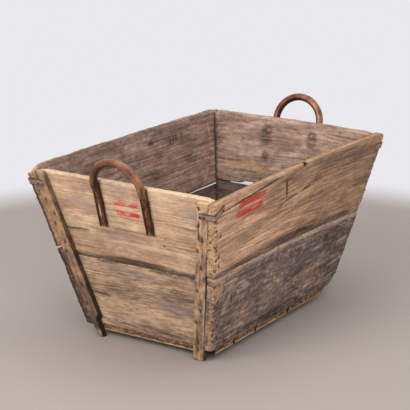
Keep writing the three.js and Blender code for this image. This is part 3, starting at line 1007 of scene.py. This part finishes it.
build_board(
    6, "right_side_board_lower", grey_board_wood, pith=(0.1, 0.12, 0.03), top_rounding=0.006, top_wear=1.3,
    lip=0.75, bend=right_joint_bend, end_tones=(0.95, 0.95), bare_end=0.3, golden_end=0.6, splintered=0.95,
    end_rounding=0.007, end_wear=0.5, proud=0.002, worn_corner=True,
    outside={
        "gold": [
            (-0.305, 0.172, 0.034, 0.033, 0.9), (-0.298, 0.11, 0.01, 0.05, 0.6),
            (-0.28, 0.055, 0.013, 0.045, 0.85), (-0.17, 0.08, 0.06, 0.03, 0.28),
            (-0.05, 0.115, 0.06, 0.035, 0.25), (0.12, 0.1, 0.06, 0.03, 0.2),
        ],
        "tone": [
            (-0.28, 0.055, 0.02, 0.045, 0.15), (-0.31, 0.175, 0.04, 0.035, 0.2),
            (-0.19, 0.165, 0.02, 0.02, 0.25), (0.0, 0.05, 0.3, 0.02, -0.12),
        ],
        "rust": [(0.175, 0.171, 0.007, 0.006, 0.8)],
        "grime_and_shade": [
            (0.0, 0.04, 0.28, 0.012, 0.7), (0.2, 0.17, 0.07, 0.03, 0.5), (0.24, 0.1, 0.06, 0.06, 0.35),
        ],
        "wear_and_highlight": [
            (-0.253, 0.122, 0.01, 0.02, 0.9), (-0.24, 0.134, 0.006, 0.016, 0.7),
            (-0.07, 0.1, 0.04, 0.03, 0.35), (-0.16, 0.075, 0.03, 0.02, 0.35),
        ],
        "crack": [
            (-0.2305, 0.136, 0.003, 0.007, 0.8), (-0.218, 0.146, 0.0026, 0.006, 0.7),
            (-0.186, 0.119, 0.003, 0.007, 0.7),
        ],
    },
)
build_board(
    7, "left_side_board_upper", brown_board_wood, pith=(0.08, 0.15, 0.02), end_tones=(0.2, 1.05),
    browned_end=0.3, bare_end=0.12, splintered=0.8, sag=left_sag, raised=(0.0048, -0.0042, 0.0),
    rim_wear=0.8, corner_drop=(0.0125, 0.004), corner_shape=(0.045, 1.0), rim_tone=0.62, bare_rim=0.05,
    outside={
        "grime_and_shade": [(0.0, 0.225, 0.2, 0.012, 0.7), (0.15, 0.33, 0.09, 0.03, 0.3)],
        "tone": [(-0.372, 0.384, 0.03, 0.02, 0.6)],
        "gold": [(-0.372, 0.382, 0.03, 0.018, 0.6)],
    },
    inner={
        "grime_and_shade": [
            (0.058, 0.358, 0.01, 0.006, 1.3), (0.137, 0.352, 0.004, 0.012, 0.9),
            (0.15, 0.353, 0.004, 0.014, 0.9), (0.163, 0.355, 0.004, 0.012, 0.9),
            (0.186, 0.357, 0.004, 0.012, 0.8), (-0.1, 0.375, 0.1, 0.012, 0.35),
        ],
        "wear_and_highlight": [(0.305, 0.335, 0.004, 0.035, 0.7)],
        "rust": [(0.285, 0.325, 0.02, 0.06, 0.2)],
        "tone": [(0.28, 0.29, 0.08, 0.1, 0.42)],
    },
)
build_board(
    8, "left_side_board_lower", grey_board_wood, pith=(0.06, 0.1, 0.04), end_tones=(0.2, 0.95),
    browned_end=0.62, bare_end=0.15, splintered=0.9, inner_tone=0.62,
    outside={"grime_and_shade": [(0.0, 0.045, 0.28, 0.014, 0.7), (-0.1, 0.12, 0.1, 0.04, 0.4)]},
    inner={"grime_and_shade": [(0.0, 0.08, 0.3, 0.05, 0.5)]},
)


# Corners: cleats and straps

# Nails are shares of a cleat's width and heights. Tones are those at its foot and at its head. The drop is
# how far its head is worn down. Flank shade is the tone of the painted shade on its flank at the head. Gold
# is bare wood, as a height and half a patch's height. A strap climbs along the side, and sits higher than in
# the solids by its rise
PLAIN_CORNER = {
    "tones": (0.7, 0.95), "patches": 0.8, "brown": 0.1, "flank": 0.45, "strap_climb": 0.0, "strap_rise": 0.0,
}
CORNER_MARKS = {
    "front_left": {
        "nails": [
            (0.66, 0.3306), (0.36, 0.3005), (0.66, 0.276), (0.36, 0.235), (0.66, 0.211), (0.36, 0.1325),
            (0.66, 0.085),
        ],
        "tones": (0.25, 0.92), "drop": -0.005, "patches": 0.35, "brown": 0.24, "flank": 0.24,
        "gold": [(0.335, 0.022), (0.30, 0.030), (0.262, 0.040), (0.222, 0.022), (0.16, 0.02), (0.010, 0.016)],
        "strap_rise": 0.009,
    },
    "front_right": {
        "nails": [
            (0.18, 0.378), (0.17, 0.337), (0.57, 0.304), (0.18, 0.2776), (0.55, 0.237), (0.26, 0.180),
            (0.6, 0.132), (0.2, 0.101), (0.5, 0.05),
        ],
        "tones": (0.30, 1.46), "drop": 0.001, "patches": 0.85, "brown": 0.0,
        "gold": [(0.287, 0.020), (0.016, 0.030), (0.384, 0.010)],
        "strap_climb": 0.5,
    },
    "rear_left": {
        "nails": [
            (0.66, 0.372), (0.36, 0.335), (0.66, 0.290), (0.36, 0.262), (0.66, 0.214), (0.36, 0.165),
            (0.66, 0.120), (0.36, 0.075), (0.66, 0.045),
        ],
        "drop": 0.003,
        "gold": [(0.24, 0.03)],
    },
    "rear_right": {
        "nails": [
            (0.66, 0.374), (0.36, 0.328), (0.66, 0.296), (0.36, 0.256), (0.66, 0.210), (0.36, 0.172),
            (0.66, 0.126), (0.36, 0.084),
        ],
        "drop": 0.011,
        "gold": [(0.31, 0.025), (0.12, 0.03)],
    },
}
CORNERS = {corner: {**PLAIN_CORNER, **marks} for corner, marks in CORNER_MARKS.items()}
CLEAT_THICKNESS = cleat_front(0) - cleat_back(0)
CLEAT_WIDTH = cleat_outer(0) - cleat_inner(0)


class CleatPlace:
    """A place on a cleat: how far out it lies, how far across from the inner flank and how high."""

    def __init__(self, point, seed):
        out, across, z = point
        self.out, self.across, self.z = out, across, z
        self.face = out / CLEAT_THICKNESS
        self.share = across / CLEAT_WIDTH
        self.up = z / RIM_HEIGHT
        self.edge = abs(2 * self.face - 1) * abs(2 * across / CLEAT_WIDTH - 1)
        self.chew = 0.5 + 0.7 * rough(z * 30, across * 50 + self.face, seed)
        self.chew += 0.4 * rough(z * 95, across * 80 + self.face, seed + 2)
        self.head = smooth(RIM_HEIGHT - 0.012, RIM_HEIGHT, z)
        self.foot = 1 - smooth(0.0, 0.05, z)
        self.patchy = ragged(z, across, seed, *CLEAT_PATCHING)
        # Painted shade on the flank, as cast by the face, less so near the head
        self.shadow = (1 - smooth(0.86, 0.99, self.face)) * (1 - self.head)
        self.shadow *= 1 - 0.4 * smooth(0.27, 0.36, z)
        # Where the foot would be broken off, which only the front left one is
        break_height = 0.050 + 0.008 * self.face + 0.010 * rough(out * 160, across * 120, seed + 13)
        self.broken = 1 - smooth(break_height - 0.009, break_height + 0.003, z)


def broken_cleat_crack_and_shade(at):
    """Dark on the front left cleat: painted shade on its flank and in the seam behind it, and its broken foot
    and split head.
    """
    flank = 0.6 * at.shadow * (1 - at.up)
    broken = 0.9 * at.broken * (1 - smooth(0.02, 0.14, at.share))
    split = 1 - smooth(0.03, 0.075, abs(at.share - 0.62))
    split *= smooth(RIM_HEIGHT - 0.024, RIM_HEIGHT - 0.014, at.z)
    seam_shade = (1 - smooth(0.02, 0.14, at.face)) * (1 - at.head)
    return max(flank, broken, 0.9 * split * at.face, 0.8 * seam_shade)


def cleat_layers(at, corner, nails, seed):
    """How strongly each layer of the finish shows at a place on a cleat."""
    marks = CORNERS[corner]
    golden = 0.3 * max(0.0, rough(at.z * 13, at.across * 20, seed + 9))
    for patch_z, patch_height in marks["gold"]:
        golden = max(golden, 1.0 - smooth(0.3, 1.1, abs(at.z - patch_z) / patch_height + 0.3 * at.chew))
    worn = max(0.0, 0.5 * smooth(0.6, 1.0, at.edge) * at.chew) + 0.7 * at.head
    # Painted shade on the flank darkens its tone and adds to its grime; the foot is darker too
    flank_shade_tone = lerp(0.22, marks["flank"], at.up)
    grime_and_shade = 0.9 * marks["patches"] * smooth(0.08, 0.5, -at.patchy) * (1 - 0.7 * at.head)
    shaded_grime = 0.75 * at.shadow * (1 - 0.4 * at.z / RIM_HEIGHT) + 0.45 * at.foot * at.chew
    stain = 0.95 * nail_stain(nails, at.across, at.z, seed) * smooth(0.6, 0.95, at.face)
    return {
        "tone": lerp(*marks["tones"], at.up) * lerp(1.0, flank_shade_tone, at.shadow),
        "wear_and_highlight": worn + 0.85 * at.face * marks["patches"] * smooth(0.05, 0.45, at.patchy),
        "gold": golden * at.face,
        "grime_and_shade": min(1.0, max(0.0, grime_and_shade, shaded_grime)),
        "rust": max(stain, marks["brown"] * (1 + 0.5 * at.patchy)),
        "crack": broken_cleat_crack_and_shade(at) if corner == "front_left" else 0.0,
    }


def worn_cleat_place(at, corner, end_sign, hand_sign, seed):
    """Where a place on a cleat ends up on its corner, with its edges, its head and its foot worn."""
    z = at.z
    loss = 0.0011 * max(0.0, at.chew) * smooth(0.5, 1.0, at.edge)
    share_out = (at.out - CLEAT_THICKNESS * loss * 40 * (at.face - 0.5)) / CLEAT_THICKNESS
    share_across = (at.across - CLEAT_WIDTH * loss * 25 * (at.share - 0.5)) / CLEAT_WIDTH
    if z < 0.004:
        z += 0.0015 * max(0.0, rough(at.across * 160, at.out * 160, seed + 4))
    z -= CORNERS[corner]["drop"] * smooth(RIM_HEIGHT - 0.06, RIM_HEIGHT, z)
    if corner == "front_left":
        worn_tip = 0.22 * (1 - min(1.0, z / 0.034))
        loss_inside = (0.34 + 0.12 * rough(z * 110, at.out * 60, seed + 14)) * at.broken
        share_across = lerp(loss_inside, 1 - worn_tip, share_across)
    place = Vector((
        end_sign * lerp(cleat_back(z), cleat_front(z), share_out),
        hand_sign * lerp(cleat_inner(z), cleat_outer(z), share_across),
        z,
    ))
    if corner == "rear_right":
        place = worn_corner(place)
        place.z += 0.011 * (1 - smooth(0.0, 0.02, z)) * smooth(0.2, 0.9, at.face)
    return place


def corner_cleat(corner, number):
    """A cleat on the ends of the end boards, nailed through, whose lower end is a foot."""
    end, hand = corner.split("_")
    name = corner + "_corner_cleat"
    wall = WALLS[end]
    hand_sign = WALLS[hand].sign
    bm = block(Vector((0, 0, 0)), Vector((CLEAT_THICKNESS, CLEAT_WIDTH, RIM_HEIGHT)))
    soften(bm, CLEAT_ROUNDING, 3)
    cut_cells(bm, 2, 0, 1)
    layers = wood_layers(bm)
    nails = [(CLEAT_WIDTH * share, z) for share, z in CORNERS[corner]["nails"]]
    seed = number * 5.17
    for vert in bm.verts:
        at = CleatPlace(vert.co, seed)
        paint(vert, layers, cleat_layers(at, corner, nails, seed))
        vert[layers["grain"]] = Vector((at.z + 2.9 * number, at.out + 0.05, at.across + 0.03 + 0.05 * at.z))
        vert.co = worn_cleat_place(at, corner, wall.sign, hand_sign, seed)
    finish_piece(bm, "worn_" + name, cleat_wood, "cleat_wood", name)
    lift = (cleat_front(0) - wall.outer(0)) * math.cos(wall.lean)
    places = [(hand_sign * (cleat_inner(z) + across), z) for across, z in nails]
    drive_nails(corner + "_cleat_nails", wall, places, lift)


def corner_strap(corner):
    """Hoop iron bent round a corner and nailed to the cleat and the side board."""
    end, hand = corner.split("_")
    name = corner + "_corner_strap"
    end_wall, side_wall = WALLS[end], WALLS[hand]
    climb = CORNERS[corner]["strap_climb"]
    rise = Vector((0, 0, CORNERS[corner]["strap_rise"]))
    low, high = (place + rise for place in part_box(name))
    bm = bmesh.new()
    bmesh.ops.create_grid(bm, x_segments=STRAP_CELLS[0], y_segments=STRAP_CELLS[1], size=0.5)
    shaded = bm.verts.layers.float.new("shaded")
    seed = random.Random(name).uniform(0, 50)
    for vert in bm.verts:
        run = (vert.co.x + 0.5) * (STRAP_END_LEG + STRAP_SIDE_LEG) - STRAP_END_LEG
        share = vert.co.y + 0.5
        # Painted shade along both edges of the strap
        vert[shaded] = 0.95 * smooth(0.62, 0.95, abs(2 * share - 1))
        edge = 0.0007 * rough(run * 90, share * 2, seed)
        z = lerp(low.z, high.z, share) + edge + 0.0012 * rough(run * 25, 0.0, seed)
        lift = STRAP_GAP + STRAP_BULGE * (0.5 + 0.5 * rough(run * 45, share, seed + 4))
        along_end = max(0.0, -run)
        along_side = max(0.0, run)
        z += climb * along_side
        x = cleat_front(z) + lift - along_side
        y = side_wall.outer(z) + lift - along_end
        # Eased round the corner
        ease = STRAP_BEND * math.exp(-abs(run) / STRAP_BEND)
        vert.co = Vector((end_wall.sign * (x - 0.3 * ease), side_wall.sign * (y - 0.3 * ease), z))
    bmesh.ops.recalc_face_normals(bm, faces=bm.faces)
    outward = Vector((end_wall.sign, side_wall.sign, 0))
    if sum(face.normal.dot(outward) for face in bm.faces) < 0:
        bmesh.ops.reverse_faces(bm, faces=bm.faces)
    bmesh.ops.solidify(bm, geom=bm.faces, thickness=-STRAP_THICKNESS)
    finish_piece(bm, "worn_" + name, strap_iron, "strap_iron", name)
    middle = (low.z + high.z) / 2
    lift = STRAP_GAP + STRAP_THICKNESS + STRAP_BULGE
    on_cleat = (cleat_front(0) - end_wall.outer(0)) * math.cos(end_wall.lean) + lift
    corner_y = side_wall.outer(middle)
    places = [(side_wall.sign * (corner_y - inset), middle + 0.002) for inset in STRAP_END_NAILS]
    drive_nails(corner + "_strap_end_nails", end_wall, places, on_cleat)
    places = [(end_wall.sign * (cleat_front(middle) - STRAP_SIDE_NAIL), middle + STRAP_SIDE_NAIL * climb)]
    drive_nails(corner + "_strap_side_nails", side_wall, places, lift)


# Bottom planks


def bottom_plank(number):
    """A plank of the bottom, laid across and nailed up into the walls."""
    name = f"bottom_plank_{number}"
    low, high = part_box(name)
    first, last = number == 1, number == PLANK_COUNT
    width, middle = high.x - low.x, (low.x + high.x) / 2
    side, end = WALLS["left"], WALLS["rear"]
    half = side.outer(high.z)
    bm = block(Vector((low.x, -half, low.z)), Vector((high.x, half, high.z)))
    soften(bm, EDGE_SOFTENING)
    cut_cells(bm, 1, 0, 2)
    layers = wood_layers(bm)
    seed = number * 3.77
    for vert in bm.verts:
        x, y, z = vert.co
        to_side = smooth(half - EDGE_REACH, half, abs(y))
        to_edge = max(1 - smooth(low.x, low.x + 0.01, x), smooth(high.x - 0.01, high.x, x))
        edge = max(to_side, to_edge)
        chew = 0.5 + 0.6 * rough(x * 40, z * 90, seed) + 0.3 * rough(y * 60, z * 120, seed + 1)
        lip = 1 - smooth(low.z + 0.0015, low.z + 0.0055, z)
        dots = rough(x * 190, y * 190, z * 260 + seed) + 0.7 * rough(x * 50, y * 50, z * 120 + seed)
        # Painted shade on the flanks in the gaps, and on the front edge behind the right foot, where shadow
        # falls
        flank = 0.0 if first else 1 - smooth(low.x, low.x + 0.0016, x)
        flank = max(flank, 0.0 if last else smooth(high.x - 0.0016, high.x, x))
        if first:
            flank = (1 - smooth(0.002, 0.008, x - low.x)) * smooth(half - 0.034, half - 0.024, -y) + flank
        paint(vert, layers, {
            "tone": 0.8 + 0.7 * lip,
            "wear_and_highlight": max(0.0, edge * (0.25 + 1.2 * lip) * (0.5 + chew)),
            "gold": 0.6 * edge * (1 - lip),
            "grime_and_shade": max(0.0, 0.5 + 0.5 * rough(x * 20, y * 8, seed + 2)) * (1 - edge),
            "rust": 0.9 * edge * smooth(-0.3, 0.4, dots + 0.25 - 1.4 * lip),
            "inside": smooth(low.z, high.z, z) * (1 - to_side),
            "crack": max(0.75 * edge * smooth(0.3, 0.7, dots) * (1 - lip), min(1.0, flank)),
        })
        vert[layers["grain"]] = Vector((y + 4.3 * number, z + 0.03 + 0.04 * y, x - middle + 0.02))
        # Rounded corners, and ends that follow the leaning walls
        off_middle = x - middle
        x -= math.copysign(0.0014 * to_side * smooth(0.5, 1.0, abs(2 * off_middle) / width), off_middle)
        y *= side.outer(z) / half
        y -= math.copysign(0.0022 * to_side * max(0.0, chew), y)
        fall = end.outer(high.z) - end.outer(z)
        if first:
            x += fall * (high.x - x) / width
        if last:
            x -= fall * (x - low.x) / width
        z += 0.0004 * rough(x * 90, y * 10, seed) * (1 - to_edge)
        place = Vector((x, y, z))
        vert.co = worn_corner(place) if last else place
    finish_piece(bm, "worn_" + name, plank_wood, "plank_wood", name)


# Handles, rivets and roves


def handle_section(angle, press):
    """Sideways place and lift off the board at an angle round the pipe, from round to a pressed trough."""
    bulge = math.sin(angle)
    if bulge < 0:
        pressed = TROUGH_HEIGHT * (1 - math.sqrt(-bulge))
    else:
        pressed = TROUGH_FLOOR + (TROUGH_HEIGHT - TROUGH_FLOOR) * abs(math.cos(angle)) ** TROUGH_STEEPNESS
    return PIPE_RADIUS * math.cos(angle), lerp(PIPE_RADIUS * (1 + bulge), pressed, press)


def handle_finish(angle, station, leg, press, seed):
    """How much painted shade and painted highlight the pipe gets at an angle round it and a station along it.
    """
    bulge = math.sin(angle)
    side = math.cos(angle)
    leftward = math.copysign(side, side * station)
    # Painted shade on the legs' flanks, on the troughs' walls and under the arch
    flank = smooth(-0.004, 0.002, leg) * (1 - smooth(-0.2, 0.1, bulge))
    trough_wall_shade = 0.85 * press * max(smooth(0.62, 0.8, leftward), smooth(0.5, 0.75, -leftward))
    underside_shade = 0.9 * (1 - press) * smooth(0.05, 0.75, -side)
    # Painted highlights: a strip in each trough, a streak along the front of the arch and a line on its outer
    # edge
    strip = smooth(0.22, 0.32, leftward) * (1 - smooth(0.5, 0.6, leftward))
    highlight_spans = smooth(0.0, 0.25, rough(station * 22, seed, 1.0)) * (1.0 if station > 0 else 0.35)
    trough_highlight = press * smooth(0.0, 0.2, bulge) * strip * highlight_spans
    highlight_band = smooth(0.3, 0.8, abs(bulge)) * smooth(-0.6, -0.25, side) * (1 - smooth(0.05, 0.5, side))
    arch_highlight = (1 - press) * (0.22 + 0.18 * rough(station * 40, 4 * angle, seed)) * highlight_band
    edge_highlight = 0.14 * (1 - press) * smooth(0.8, 0.97, side)
    rubbed_and_highlight = max(trough_highlight, arch_highlight * smooth(0.02, -0.06, station), edge_highlight)
    return max(0.95 * flank, trough_wall_shade, underside_shade), rubbed_and_highlight


def pipe_handle(end):
    """A pipe bent to an arch over the rim, with both legs pressed into troughs."""
    name = end + "_handle"
    low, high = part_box(name)
    half_spread = (high.y - low.y) / 2 - PIPE_RADIUS
    half_arch = math.pi * half_spread / 2
    half_length = half_arch + LEG_REACH - ARCH_DROP
    bm = bmesh.new()
    bmesh.ops.create_cone(
        bm, cap_ends=True, segments=PIPE_SIDES, radius1=PIPE_RADIUS, radius2=PIPE_RADIUS,
        depth=2 * half_length,
    )
    slice_along(bm, 2, PIPE_CELL)
    shaded = bm.verts.layers.float.new("shaded")
    rubbed_and_highlight = bm.verts.layers.float.new("rubbed_and_highlight")
    face = WALLS[end].face((low.y + high.y) / 2, RIM_HEIGHT, HANDLE_GAP)
    seed = 31.0 if end == "front" else 47.0
    for vert in bm.verts:
        angle = math.atan2(vert.co.y, vert.co.x)
        station = vert.co.z
        leg = abs(station) - half_arch
        press = smooth(0.0, 1.0, (leg + ARCH_DROP - PRESS_START) / PRESS_LENGTH)
        vert[shaded], vert[rubbed_and_highlight] = handle_finish(angle, station, leg, press, seed)
        sideways, lift = handle_section(angle, press)
        pitted = 0.00018 * rough(station * 160, 3 * math.cos(angle), 3 * math.sin(angle) + seed)
        bent = 0.0012 * rough(station * 14, seed, 0.0) * (1 - press)
        turn = max(-math.pi / 2, min(math.pi / 2, station / half_spread))
        reach = half_spread + sideways + pitted + bent
        up = -ARCH_DROP + reach * math.cos(turn) - max(0.0, leg)
        vert.co = face @ Vector((reach * math.sin(turn), up, lift + pitted))
    finish_piece(bm, "worn_" + name, handle_iron, "handle_iron", name)


def turn_profile(bm, profile, matrix):
    """Spins a profile of (radius, height) points round a matrix's Z axis."""
    points = [bm.verts.new((radius, 0, height)) for radius, height in profile]
    edges = [bm.edges.new(pair) for pair in zip(points, points[1:])]
    bmesh.ops.spin(
        bm, geom=points + edges, cent=(0, 0, 0), axis=(0, 0, 1), angle=math.tau,
        steps=RIVET_SIDES, use_merge=True,
    )
    bmesh.ops.remove_doubles(bm, verts=bm.verts, dist=TINY)
    bmesh.ops.transform(bm, matrix=matrix, verts=bm.verts)


def dome(radius, height, base):
    """Points of a worn dome from its edge to its top."""
    turns = [math.pi / 2 * i / DOME_STEPS for i in range(DOME_STEPS + 1)]
    return [(radius * math.cos(turn), base + height * math.sin(turn)) for turn in turns]


def handle_rivet(end, row, hand):
    """A rivet through a handle's leg and the board, domed at both ends. Returns the matrix it lies in."""
    name = f"{end}_handle_rivet_{row}_{hand}"
    wall = WALLS[end]
    low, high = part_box(name)
    middle = (low + high) / 2
    face = wall.face(middle.y, middle.z)
    face.translation = middle
    length = (high - low).x / math.cos(wall.lean) - RIVET_HEAD_RADIUS * math.tan(wall.lean)
    seat = length / 2 - RIVET_HEAD_HEIGHT
    head = dome(RIVET_HEAD_RADIUS, RIVET_HEAD_HEIGHT, seat)
    tail = [(radius, -height) for radius, height in reversed(head)]
    bm = bmesh.new()
    turn_profile(bm, tail + [(RIVET_SHANK_RADIUS, -seat), (RIVET_SHANK_RADIUS, seat)] + head, face)
    shaded = bm.verts.layers.float.new("shaded")
    for vert in bm.verts:
        vert[shaded] = 0.75 if (face.inverted() @ vert.co).z > 0 else 0.0
    finish_piece(bm, "worn_" + name, rove_iron, "rivet_iron", name)
    return face


def handle_rove(end, row, hand, face):
    """The rove under a rivet's inner end, turned as the rivet is."""
    name = f"{end}_handle_rove_{row}_{hand}"
    low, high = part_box(name)
    face.translation = (low + high) / 2
    hole = RIVET_SHANK_RADIUS + ROVE_CLEARANCE
    top = ROVE_THICKNESS / 2
    ring = [
        (hole, -top), (ROVE_RADIUS - ROVE_LIP, -top), (ROVE_RADIUS, -top + ROVE_LIP), (ROVE_RADIUS, top),
        (hole, top), (hole, -top),
    ]
    bm = bmesh.new()
    turn_profile(bm, ring, face)
    finish_piece(bm, "worn_" + name, rove_iron, "rivet_iron", name)


# Stage


def build_floor(scene):
    """A plain pale floor that fades into the background."""
    bm = bmesh.new()
    bmesh.ops.create_circle(bm, cap_ends=True, segments=96, radius=FLOOR_REACH + FLOOR_FADE)
    mesh = bpy.data.meshes.new("studio_floor")
    bm.to_mesh(mesh)
    bm.free()
    floor = bpy.data.objects.new("studio_floor", mesh)
    scene.collection.objects.link(floor)
    material, tree, shader = new_material("studio_floor")
    plug(tree, shader, {"Base Color": FLOOR_GREY, "Roughness": 0.9})
    place = add(tree, "ShaderNodeTexCoord").outputs["Object"]
    distance = add(tree, "ShaderNodeVectorMath", {0: place}, operation="LENGTH").outputs["Value"]
    clear = add(tree, "ShaderNodeBsdfTransparent").outputs[0]
    far = fade(tree, distance, FLOOR_REACH, FLOOR_REACH + FLOOR_FADE)
    faded = add(tree, "ShaderNodeMixShader", {0: far, 1: shader.outputs[0], 2: clear})
    tree.links.new(faded.outputs[0], tree.nodes["Material Output"].inputs["Surface"])
    mesh.materials.append(material)


def build_world(scene):
    """Even light from all round, and a pale background where the camera looks past the floor."""
    world = bpy.data.worlds.new("studio")
    scene.world = world
    world.use_nodes = True
    tree = world.node_tree
    light = tree.nodes["Background"]
    plug(tree, light, {"Color": (1.0, 0.985, 0.97, 1), "Strength": 0.62})
    seen = add(tree, "ShaderNodeBackground", {"Color": BACKGROUND, "Strength": 1.0})
    path = add(tree, "ShaderNodeLightPath")
    rays = figure(tree, "ADD", path.outputs["Is Camera Ray"], path.outputs["Is Glossy Ray"])
    rays = figure(tree, "ADD", rays, path.outputs["Is Transmission Ray"])
    both = add(tree, "ShaderNodeMixShader", {0: rays, 1: light.outputs[0], 2: seen.outputs[0]})
    tree.links.new(both.outputs[0], tree.nodes["World Output"].inputs["Surface"])


def add_softbox(scene, name, place, size, watts):
    """A square soft lamp that points at the crate."""
    lamp = bpy.data.lights.new(name, "AREA")
    lamp.size = size
    lamp.energy = watts
    softbox = bpy.data.objects.new(name, lamp)
    softbox.location = place
    softbox.rotation_mode = "QUATERNION"
    softbox.rotation_quaternion = (Vector((0, 0, 0.2)) - Vector(place)).to_track_quat("-Z", "Y")
    scene.collection.objects.link(softbox)


def add_camera(scene):
    """The camera, turned to look as the photograph does."""
    data = bpy.data.cameras.new("camera")
    data.lens = CAMERA_LENS
    data.sensor_width = SENSOR_WIDTH
    camera = bpy.data.objects.new("camera", data)
    azimuth, elevation = math.radians(CAMERA_AZIMUTH), math.radians(CAMERA_ELEVATION)
    back = Vector((
        math.sin(azimuth) * math.cos(elevation),
        -math.cos(azimuth) * math.cos(elevation),
        math.sin(elevation),
    ))
    right = Vector((math.cos(azimuth), math.sin(azimuth), 0))
    matrix = Matrix((right, back.cross(right), back)).transposed().to_4x4()
    matrix = matrix @ Matrix.Rotation(math.radians(CAMERA_ROLL), 4, "Z")
    matrix.translation = CAMERA_PLACE
    camera.matrix_world = matrix
    scene.collection.objects.link(camera)
    scene.camera = camera


def build_stage():
    """Floor, light and camera."""
    scene = bpy.context.scene
    scene.view_settings.view_transform = "Standard"
    build_floor(scene)
    build_world(scene)
    add_softbox(scene, "key_softbox", (-3.0, 0.4, 2.2), 1.9, 70.0)
    add_softbox(scene, "fill_softbox", (-2.2, -2.3, 1.7), 1.6, 36.0)
    add_softbox(scene, "overhead_softbox", (0.2, -0.3, 3.0), 2.6, 40.0)
    add_camera(scene)


for number, corner in enumerate(CORNERS, 1):
    corner_cleat(corner, number)
    corner_strap(corner)
for number in range(1, PLANK_COUNT + 1):
    bottom_plank(number)
for end in ("front", "rear"):
    pipe_handle(end)
    for row in ("upper", "lower"):
        for hand in ("left", "right"):
            rivet_face = handle_rivet(end, row, hand)
            handle_rove(end, row, hand, rivet_face)
build_stage()
